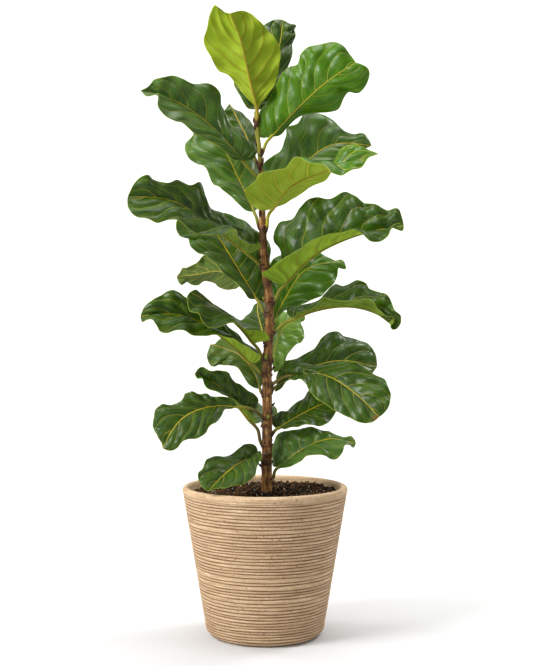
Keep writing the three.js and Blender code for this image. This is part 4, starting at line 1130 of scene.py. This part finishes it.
def blade_and_stalk(leaf, index, material):
    """One leaf: a thin waved blade puffed up between its veins, a midrib under it and a stalk."""
    turn = random.Random(LEAF_SEED + index).uniform(0.0, 0.5)
    u, reach, points, widths, vein, rib_length = blade_grid(leaf, turn)
    near = np.abs(vein - np.round(vein)) * 2
    points = quilted(points, u, reach, widths, near, rib_length, index)
    normals = face_normals(points)
    half = BLADE_THICKNESS / 2
    ridge = VEIN_RIDGE * smoothstep(0.09, 0.02, near) * smoothstep(1, 0.8, reach) * (1 - 0.6 * reach)
    top = points + normals * half
    under = points - normals * (half + ridge)[:, :, None]
    faces = blade_faces(*widths.shape)
    path, radii, sunk = stalk_line(leaf, points, normals)
    stalk, stalk_faces = tube(path, radii, STALK_SIDES, 2 * widths.size)
    solid = np.concatenate([top.reshape(-1, 3), under.reshape(-1, 3), stalk])
    # What the leaf's finish reads: on the blade's two sides first, and then on the stalk.
    along = (u * rib_length)[:, None]
    edge = np.minimum((1 - reach) * widths, np.minimum(along, rib_length - along) + 1)
    travelled = np.concatenate([[0], np.cumsum(np.linalg.norm(np.diff(path, axis=0), axis=1))])
    rod = np.repeat(travelled, STALK_SIDES) - sunk
    side = triples(vein, reach * widths, along)
    off_edge = triples(np.full(len(rod), OFF_EDGE), 1, 1)
    from_trunk = np.concatenate([np.full(2 * widths.size, OFF_TRUNK), rod])
    values = {
        "blade_place": np.concatenate([side, side, np.zeros((len(rod), 3))]),
        "blade_rim": np.concatenate([triples(edge, 0, 0), triples(edge, 1, 0), off_edge]),
        "stalk_place": triples(from_trunk, leaf.get("woody", 0.0), index),
    }
    if "scorch" in leaf:
        away = np.linalg.norm(solid - place(*leaf["scorch"]), axis=1)
        values["scorch"] = np.exp(-((away / SCORCH_SIZE) ** 2))
    node = f"leaf_{index + 1:02d}"
    return piece(node + "_blade", solid, faces + stalk_faces, material, [node], values)


# ---- Soil ---------------------------------------------------------------------------------------


def pot_inside(height):
    """Radius of the pot's smooth inside at a height."""
    share = (height - POT_FLOOR) / (POT_HEIGHT - POT_LIP / 2 - POT_FLOOR)
    return (1 - share) * (POT_FOOT_RADIUS - POT_LIP) + share * (POT_RIM_RADIUS - POT_LIP)


def soil_height(x, y):
    """Height of the loose soil: lumps, crumbs, a mound, a ring heaped round the trunk and a hollow."""
    lumps, crumbs = (
        rise * noise.fractal(Vector((x / length, y / length, start)), 1.0, 2.0, 3)
        for rise, length, start in (SOIL_LUMPS, SOIL_CRUMBS)
    )
    across = (x - SOIL_MOUND_PLACE[0]) / SOIL_MOUND_SIZE[0]
    back = (y - SOIL_MOUND_PLACE[1]) / SOIL_MOUND_SIZE[1]
    lumps += SOIL_MOUND * math.exp(-(across**2 + back**2))
    radius = math.hypot(x - trunk_centre(SOIL_TOP)[0][0], y)
    heap, hollow = (
        rise * math.exp(-(((radius - middle) / width) ** 2))
        for rise, middle, width in (SOIL_HEAP, SOIL_HOLLOW)
    )
    return SOIL_TOP + lumps + crumbs + heap + hollow


def soil(mix, chips, perlite):
    """Potting soil: a loose crumbly bed, bark chips lying on it and white grains of perlite."""
    edge = pot_inside(SOIL_TOP) - SOIL_CLEARANCE
    angles = np.arange(SOIL_SIDES) * 2 * math.pi / SOIL_SIDES
    points = [(0.0, 0.0, soil_height(0, 0))]
    for radius in edge * np.linspace(SOIL_FIRST_RING, 1, SOIL_RINGS):
        for angle in angles:
            x, y = radius * math.cos(angle), radius * math.sin(angle)
            points.append((x, y, soil_height(x, y)))
    low = SOIL_TOP - SOIL_DEPTH
    low_radius = pot_inside(low) - SOIL_CLEARANCE
    points += [(low_radius * math.cos(a), low_radius * math.sin(a), low) for a in angles]
    faces = grid_faces(SOIL_RINGS + 1, SOIL_SIDES, 1, closed=True)
    faces = [face[::-1] for face in faces]
    faces += [[0, 1 + i, 1 + (i + 1) % SOIL_SIDES] for i in range(SOIL_SIDES)]
    last = 1 + SOIL_RINGS * SOIL_SIDES
    faces.append(list(range(last + SOIL_SIDES - 1, last - 1, -1)))
    tone = [SOIL_TONE] * len(points)
    piece("soil_bed", points, faces, mix, ["soil"], {"tone": tone})
    for (name, count, sizes, flat, gap, seed), material in zip(LOOSE, (chips, perlite)):
        scatter(name, count, sizes, flat, edge - gap, material, seed)


LUMP_CORNERS = unit(
    np.array(
        [(0, s, t * GOLDEN_RATIO) for s in (-1, 1) for t in (-1, 1)]
        + [(s, t * GOLDEN_RATIO, 0) for s in (-1, 1) for t in (-1, 1)]
        + [(t * GOLDEN_RATIO, 0, s) for s in (-1, 1) for t in (-1, 1)],
        float,
    )
)


def lump_faces():
    """The 20 triangles of a regular icosahedron on LUMP_CORNERS, wound outwards."""
    longest = 1.06 * np.linalg.norm(LUMP_CORNERS[0] - LUMP_CORNERS, axis=1)[1:].min()
    found = []
    for trio in itertools.combinations(range(len(LUMP_CORNERS)), 3):
        corners = LUMP_CORNERS[list(trio)]
        sides = np.linalg.norm(corners - np.roll(corners, 1, axis=0), axis=1)
        if sides.max() < longest:
            turn = np.dot(np.cross(corners[1] - corners[0], corners[2] - corners[0]), corners[0])
            a, b, c = trio
            found.append([a, b, c] if turn > 0 else [a, c, b])
    return found


def scatter(name, count, sizes, flat, edge, material, seed):
    """Small lumps strewn over the soil, each turned, stretched and sunk by a seeded draw."""
    draw = random.Random(seed)
    triangles = lump_faces()
    each = len(LUMP_CORNERS)
    points, faces, tones = [], [], []
    for number in range(count):
        radius = max(LOOSE_INNER_RADIUS, edge * math.sqrt(draw.random()))
        angle = draw.uniform(0, 2 * math.pi)
        x, y = radius * math.cos(angle), radius * math.sin(angle)
        size = draw.uniform(*sizes)
        stretch = (draw.uniform(*LOOSE_LENGTHS), draw.uniform(*LOOSE_WIDTHS), flat)
        turn = np.array(Vector((draw.gauss(0, 1), draw.gauss(0, 1), draw.gauss(0, 1))).normalized())
        other = unit(np.cross(turn, (0.3, 0.5, 0.8)))
        basis = np.stack([turn, other, np.cross(turn, other)])
        rough = np.array([[draw.uniform(*LOOSE_ROUGHNESS)] for _ in LUMP_CORNERS])
        lump = (LUMP_CORNERS * rough) @ np.diag([size * share for share in stretch]) @ basis
        lump += (x, y, soil_height(x, y) + size * draw.uniform(*LOOSE_RISES))
        faces += [[corner + each * number for corner in triangle] for triangle in triangles]
        points.append(lump)
        tones += [draw.random() ** LOOSE_DARKNESS] * each
    piece(name, np.concatenate(points), faces, material, values={"tone": tones})


# ---- Pot ----------------------------------------------------------------------------------------


def grooves():
    """The grooves up the pot's wall, hand-drawn while it turned: height, depth, width and phase."""
    draw = random.Random(GROOVE_SEED)
    found = []
    height = GROOVE_LOW
    top = POT_HEIGHT - POT_RIM_DROP - POT_BAND
    while height < top:
        depth = draw.uniform(*GROOVE_DEPTHS)
        width = draw.uniform(*GROOVE_WIDTHS)
        found.append((height, depth, width, draw.uniform(*GROOVE_PHASES)))
        if draw.random() < FINE_GROOVE_SHARE:
            fine = height + draw.uniform(*FINE_GROOVE_RISES)
            depth = draw.uniform(*FINE_GROOVE_DEPTHS)
            found.append((fine, depth, FINE_GROOVE_WIDTH, draw.uniform(*GROOVE_PHASES)))
        common = draw.random() < COMMON_PITCH_SHARE
        height += draw.uniform(*(GROOVE_PITCHES if common else WIDE_PITCHES))
    found += [(top + rise, depth, width, phase) for rise, depth, width, phase in BAND_LINES]
    return found


def pot_outside():
    """The smooth outside in section, from the flat underside up the rounded foot and the wall."""
    top = POT_HEIGHT - POT_RIM_DROP
    foot = [
        (
            POT_FOOT_RADIUS - POT_FOOT_ROUND + POT_FOOT_ROUND * math.sin(a),
            POT_FOOT_ROUND * (1 - math.cos(a)),
        )
        for a in np.linspace(0, math.pi / 2, POT_FOOT_STEPS)
    ]
    slope = (POT_RIM_RADIUS - POT_FOOT_RADIUS) / (top - POT_FOOT_ROUND)
    heights = np.arange(POT_FOOT_ROUND + POT_ROW, top, POT_ROW)
    return foot + [(POT_FOOT_RADIUS + slope * (h - POT_FOOT_ROUND), h) for h in heights]


def pot_rim_and_inside():
    """The rounded rim in section, and the inside of the wall down into the soil."""
    lip = POT_LIP / 2
    rim = [
        (POT_RIM_RADIUS - lip + lip * math.cos(a), POT_HEIGHT - lip + lip * math.sin(a))
        for a in np.linspace(POT_RIM_START, math.pi, POT_RIM_STEPS)
    ]
    heights = np.linspace(POT_HEIGHT - lip - POT_INSIDE_DROP, POT_INSIDE_LOW, POT_INSIDE_STEPS)
    return rim + [(pot_inside(h), h) for h in heights]


def pot(stone):
    """The turned pot: a rounded foot, a tapered wall with irregular grooves and a rounded rim."""
    turns = np.arange(POT_SIDES) * 2 * math.pi / POT_SIDES
    outside = pot_outside()
    outer = len(outside)
    outline = np.array(outside + pot_rim_and_inside())
    radius = np.repeat(outline[:, :1], POT_SIDES, axis=1)
    height = np.repeat(outline[:, 1:], POT_SIDES, axis=1)
    groove_shade = np.zeros_like(radius)
    depth = np.zeros_like(radius)
    # On its way round a groove strays up and down in a long and a short wave, and it comes and goes.
    for level, deep, wide, phase in grooves():
        long_wave = GROOVE_STRAYING[0] * np.sin(turns * 2 + phase)
        short_wave = GROOVE_STRAYING[1] * np.sin(turns * 5 + 2.3 * phase)
        wander = long_wave + short_wave
        fade = GROOVE_FADING * np.sin(turns * 3 + 1.7 * phase) * np.cos(turns * 7 + phase)
        away = (height[:outer] - level - wander[None, :]) / wide
        cut = np.exp(-(away**2)) * (1 - GROOVE_FADING + fade)[None, :]
        depth[:outer] += deep * cut
        # Painted shade is marked along each groove, more where it is deeper.
        groove_shade[:outer] = np.maximum(groove_shade[:outer], cut * min(1, deep / FULL_SHADE_DEPTH))
    radius -= depth
    points = np.stack([radius * np.cos(turns), radius * np.sin(turns), height], axis=-1).reshape(-1, 3)
    points = np.concatenate([points, [[0, 0, 0]]])
    faces = grid_faces(len(outline), POT_SIDES, closed=True)
    centre = len(points) - 1
    faces += [[centre, (i + 1) % POT_SIDES, i] for i in range(POT_SIDES)]
    last = (len(outline) - 1) * POT_SIDES
    faces.append(list(range(last, last + POT_SIDES)))
    values = {"groove": np.concatenate([groove_shade.ravel(), [0.0]])}
    return piece("pot_wall", points, faces, stone, ["pot"], values)


# ---- Studio -------------------------------------------------------------------------------------


WORLD_LIGHT = 0.37
SWEEP_HALF_WIDTH = 8000
SWEEP_FRONT = -8000
SWEEP_BACK = 5800
SWEEP_HEIGHT = 5000
SWEEP_BEND = 1500  # radius between the floor and the backdrop
SWEEP_STEPS = 16
LAMPS = [  # name, place, target, size and watts
    ("key_softbox", (-2000, -1250, 1900), (0, 0, 500), 1300, 88),
    ("fill_softbox", (2300, -1300, 900), (0, 0, 450), 1500, 4),
    ("low_softbox", (-900, -2400, 200), (0, 0, 700), 1400, 9),
    ("rim_softbox", (1500, 1100, 1700), (0, 0, 750), 500, 14),
    ("top_softbox", (200, 100, 2900), (0, 0, 0), 1700, 45),
    ("floor_lamp_left", (-2200, 1000, 2400), (-600, 3500, 900), 1400, 42),
    ("floor_lamp_right", (2200, 1000, 2400), (600, 3500, 900), 1400, 55),
    ("backdrop_lamp_left", (-2500, 2900, 2600), (-700, 5800, 900), 1400, 130),
    ("backdrop_lamp_right", (2500, 2900, 2600), (700, 5800, 900), 1400, 130),
]


def sweep():
    """A pale grey paper, matt all over, that lies under the plant and curves up behind it."""
    material, tree = finish("studio_paper")
    shader = {"Base Color": linear("#d0d0d0"), "Roughness": 0.9}
    add(tree, "OutputMaterial", {0: add(tree, "BsdfPrincipled", shader)[0]})
    start = SWEEP_BACK - SWEEP_BEND
    profile = [(SWEEP_FRONT, 0), (start, 0)]
    profile += [
        (start + SWEEP_BEND * math.sin(a), SWEEP_BEND - SWEEP_BEND * math.cos(a))
        for a in np.linspace(0.1, math.pi / 2, SWEEP_STEPS)
    ]
    profile.append((SWEEP_BACK, SWEEP_HEIGHT))
    points = [(x, y, z) for y, z in profile for x in (-SWEEP_HALF_WIDTH, SWEEP_HALF_WIDTH)]
    mesh = bpy.data.meshes.new("studio_sweep")
    mesh.from_pydata((np.array(points) * MM).tolist(), [], grid_faces(len(profile), 2))
    mesh.shade_smooth()
    mesh.materials.append(material)
    paper = bpy.data.objects.new("studio_sweep", mesh)
    bpy.context.scene.collection.objects.link(paper)


def lights():
    """Even light from all round, and soft lamps that no view shows."""
    world = bpy.data.worlds.new("studio_air")
    world.use_nodes = True
    world.node_tree.nodes["Background"].inputs[0].default_value = (1, 1, 1, 1)
    world.node_tree.nodes["Background"].inputs[1].default_value = WORLD_LIGHT
    bpy.context.scene.world = world
    for name, spot, target, size, power in LAMPS:
        lamp = bpy.data.lights.new(name, "AREA")
        lamp.shape = "DISK"
        lamp.size = size * MM
        lamp.energy = power
        made = bpy.data.objects.new(name, lamp)
        made.location = Vector(spot) * MM
        aim = Vector(target) * MM - made.location
        made.rotation_euler = aim.to_track_quat("-Z", "Y").to_euler()
        made.visible_camera = False
        bpy.context.scene.collection.objects.link(made)


def camera():
    """The photograph's view: level with the middle of the plant, from 2.2 m in front."""
    data = bpy.data.cameras.new("camera")
    data.sensor_fit = "HORIZONTAL"
    data.sensor_width = CAMERA_SENSOR
    data.lens = CAMERA_LENS
    data.clip_end = 50
    made = bpy.data.objects.new("camera", data)
    made.location = Vector(CAMERA_PLACE) * MM
    made.rotation_euler = (math.radians(90 - CAMERA_DIP), 0, 0)
    bpy.context.scene.collection.objects.link(made)
    bpy.context.scene.camera = made


# ---- The plant ----------------------------------------------------------------------------------

# In each palette, the tint laid beside the lateral veins is painted shade, and the edge tint is a painted
# highlight along the margin.
PALETTES = {
    "dark": {
        "deep": "#203e09", "green": "#3d5f0c", "vein_valley_shade": "#2a4b0a",
        "vein": "#a3a030", "rib": "#d6bc30", "edge": "#8c9c2a",
        "under": "#648628", "under_light": "#8ca634", "stalk": "#7f7f22",
    },
    "bright": {
        "deep": "#386503", "green": "#4f7c04", "vein_valley_shade": "#457608",
        "vein": "#a8ac30", "rib": "#ccba38", "edge": "#98aa26",
        "under": "#6f9630", "under_light": "#8aa83a", "stalk": "#9c9a28",
    },
    "lime": {
        "deep": "#2f5c08", "green": "#4a7a0c", "vein_valley_shade": "#3f6c0a",
        "vein": "#b0901a", "rib": "#c4981c", "edge": "#a4ae2a",
        "under": "#8ca414", "under_light": "#a2b824", "stalk": "#96841a",
    },
    "olive": {
        "deep": "#3b571b", "green": "#536e24", "vein_valley_shade": "#48651f",
        "vein": "#a0923a", "rib": "#b9a040", "edge": "#8c9238",
        "under": "#445c1c", "under_light": "#5b7225", "stalk": "#807e26",
    },
}
PALETTES["pale"] = {  # dark leaves painted paler and greyer: a painted sheen
    **PALETTES["dark"],
    "deep": "#33541b", "green": "#54782b", "vein_valley_shade": "#3e621e",
}
PALETTES["lit"] = {  # dark leaves with a lime underside, painted lighter: painted light from below
    **PALETTES["dark"],
    "rib": "#dcc434", "under": "#8eb428", "under_light": "#b0cc3c",
}
PALETTES["soft"] = {  # a shaded leaf painted pale all over: a painted sheen
    **PALETTES["bright"],
    "deep": "#6a9238", "green": "#90b250", "vein_valley_shade": "#80a446",
}
PALETTES["yellow"] = {  # the young leaf that shows its lime underside, its underside and veins painted lighter still: painted light from below
    **PALETTES["lime"],
    "vein": "#ead94a", "rib": "#c8a828", "stalk": "#a49c24",
    "under": "#a2bc2a", "under_light": "#bccc48",
}

BUDS = [  # height, angle, length, radius and lean of each, and of the stubs and scales below
    (500, -1.9, 9, 3.2, 0.7),
    (393, -1.4, 8, 3.0, 0.8),
]
STUBS = [
    (640, -0.5, 13, 2.2, 0.9),
    (682, 3.6, 14, 2.2, 0.7),
    (480, 0.5, 12, 2.2, 1.1),
    (414, 0.4, 11, 2.2, 1.0),
    (303, 3.4, 12, 2.4, 0.9),
]
SCALES = [
    (757, 4.0, 16, 3.0, 0.3),
    (770, 2.6, 15, 2.6, 0.3),
    (782, 5.6, 14, 2.6, 0.3),
    (840, 4.3, 18, 3.0, 0.3),
    (851, 5.6, 16, 2.4, 0.3),
    (884, 3.2, 16, 2.4, 0.3),
    (914, 3.6, 14, 2.6, 0.3),
    (926, 0.2, 16, 2.6, 0.3),
]


def node_scales():
    """The dry scales round the foot of each stalk, longer on the young wood near the top."""
    rows = []
    short, long = NODE_SCALE_LENGTHS
    for leaf in LEAVES:
        angle = leaf_foot(leaf)[1]
        length = short + (long - short) * smoothstep(*NODE_SCALE_HEIGHTS, leaf["foot"])
        for turn, rise in NODE_SCALE_PLACES:
            height = leaf["foot"] + rise
            rows.append((height, angle + turn, length, NODE_SCALE_RADIUS, NODE_SCALE_LEAN))
    return rows


def plant():
    """Everything in the pot, from the floor up."""
    pot(pot_finish())
    # Moist peat is nearly black and dull. The bark chips on it are a warmer brown and vary more.
    mix = plain_finish("peat_and_bark_mix", "#140b04", "#3e2710", 3.0, 0.95)
    chips = plain_finish("bark_chips", "#180e05", "#61401c", 2.0, 0.85, 0.8)
    # Perlite is burst volcanic glass: dusty white grains.
    perlite = plain_finish("perlite_grains", "#b9a893", "#f3eee4", 1.0, 0.9)
    soil(mix, chips, perlite)
    trunk(bark_finish())
    # A closed bud is smooth, young green skin with a soft sheen.
    green = plain_finish("bud_skin", "#5f7a1f", "#93a836", 2.0, 0.55)
    spikes("leaf_buds", BUDS, green, 0.4)
    # A dead twig is dry wood, dark and dull.
    dry = plain_finish("dead_twig", "#2c1b12", "#5d4230", 2.0, 0.85)
    spikes("twig_stubs", STUBS, dry, 0.2)
    # The scales that wrapped a bud dry to thin red-brown paper.
    papery = plain_finish("papery_scale", "#2f1413", "#6b3a2b", 2.5, 0.6)
    spikes("bud_scales", SCALES + node_scales(), papery, 0.6)
    finishes = {look: leaf_finish("fig_leaf_" + look, tints) for look, tints in PALETTES.items()}
    for index, leaf in enumerate(LEAVES):
        blade_and_stalk(leaf, index, finishes[leaf.get("look", leaf["tone"])])


camera()
sweep()
lights()
plant()
bpy.context.scene.view_settings.view_transform = "Standard"
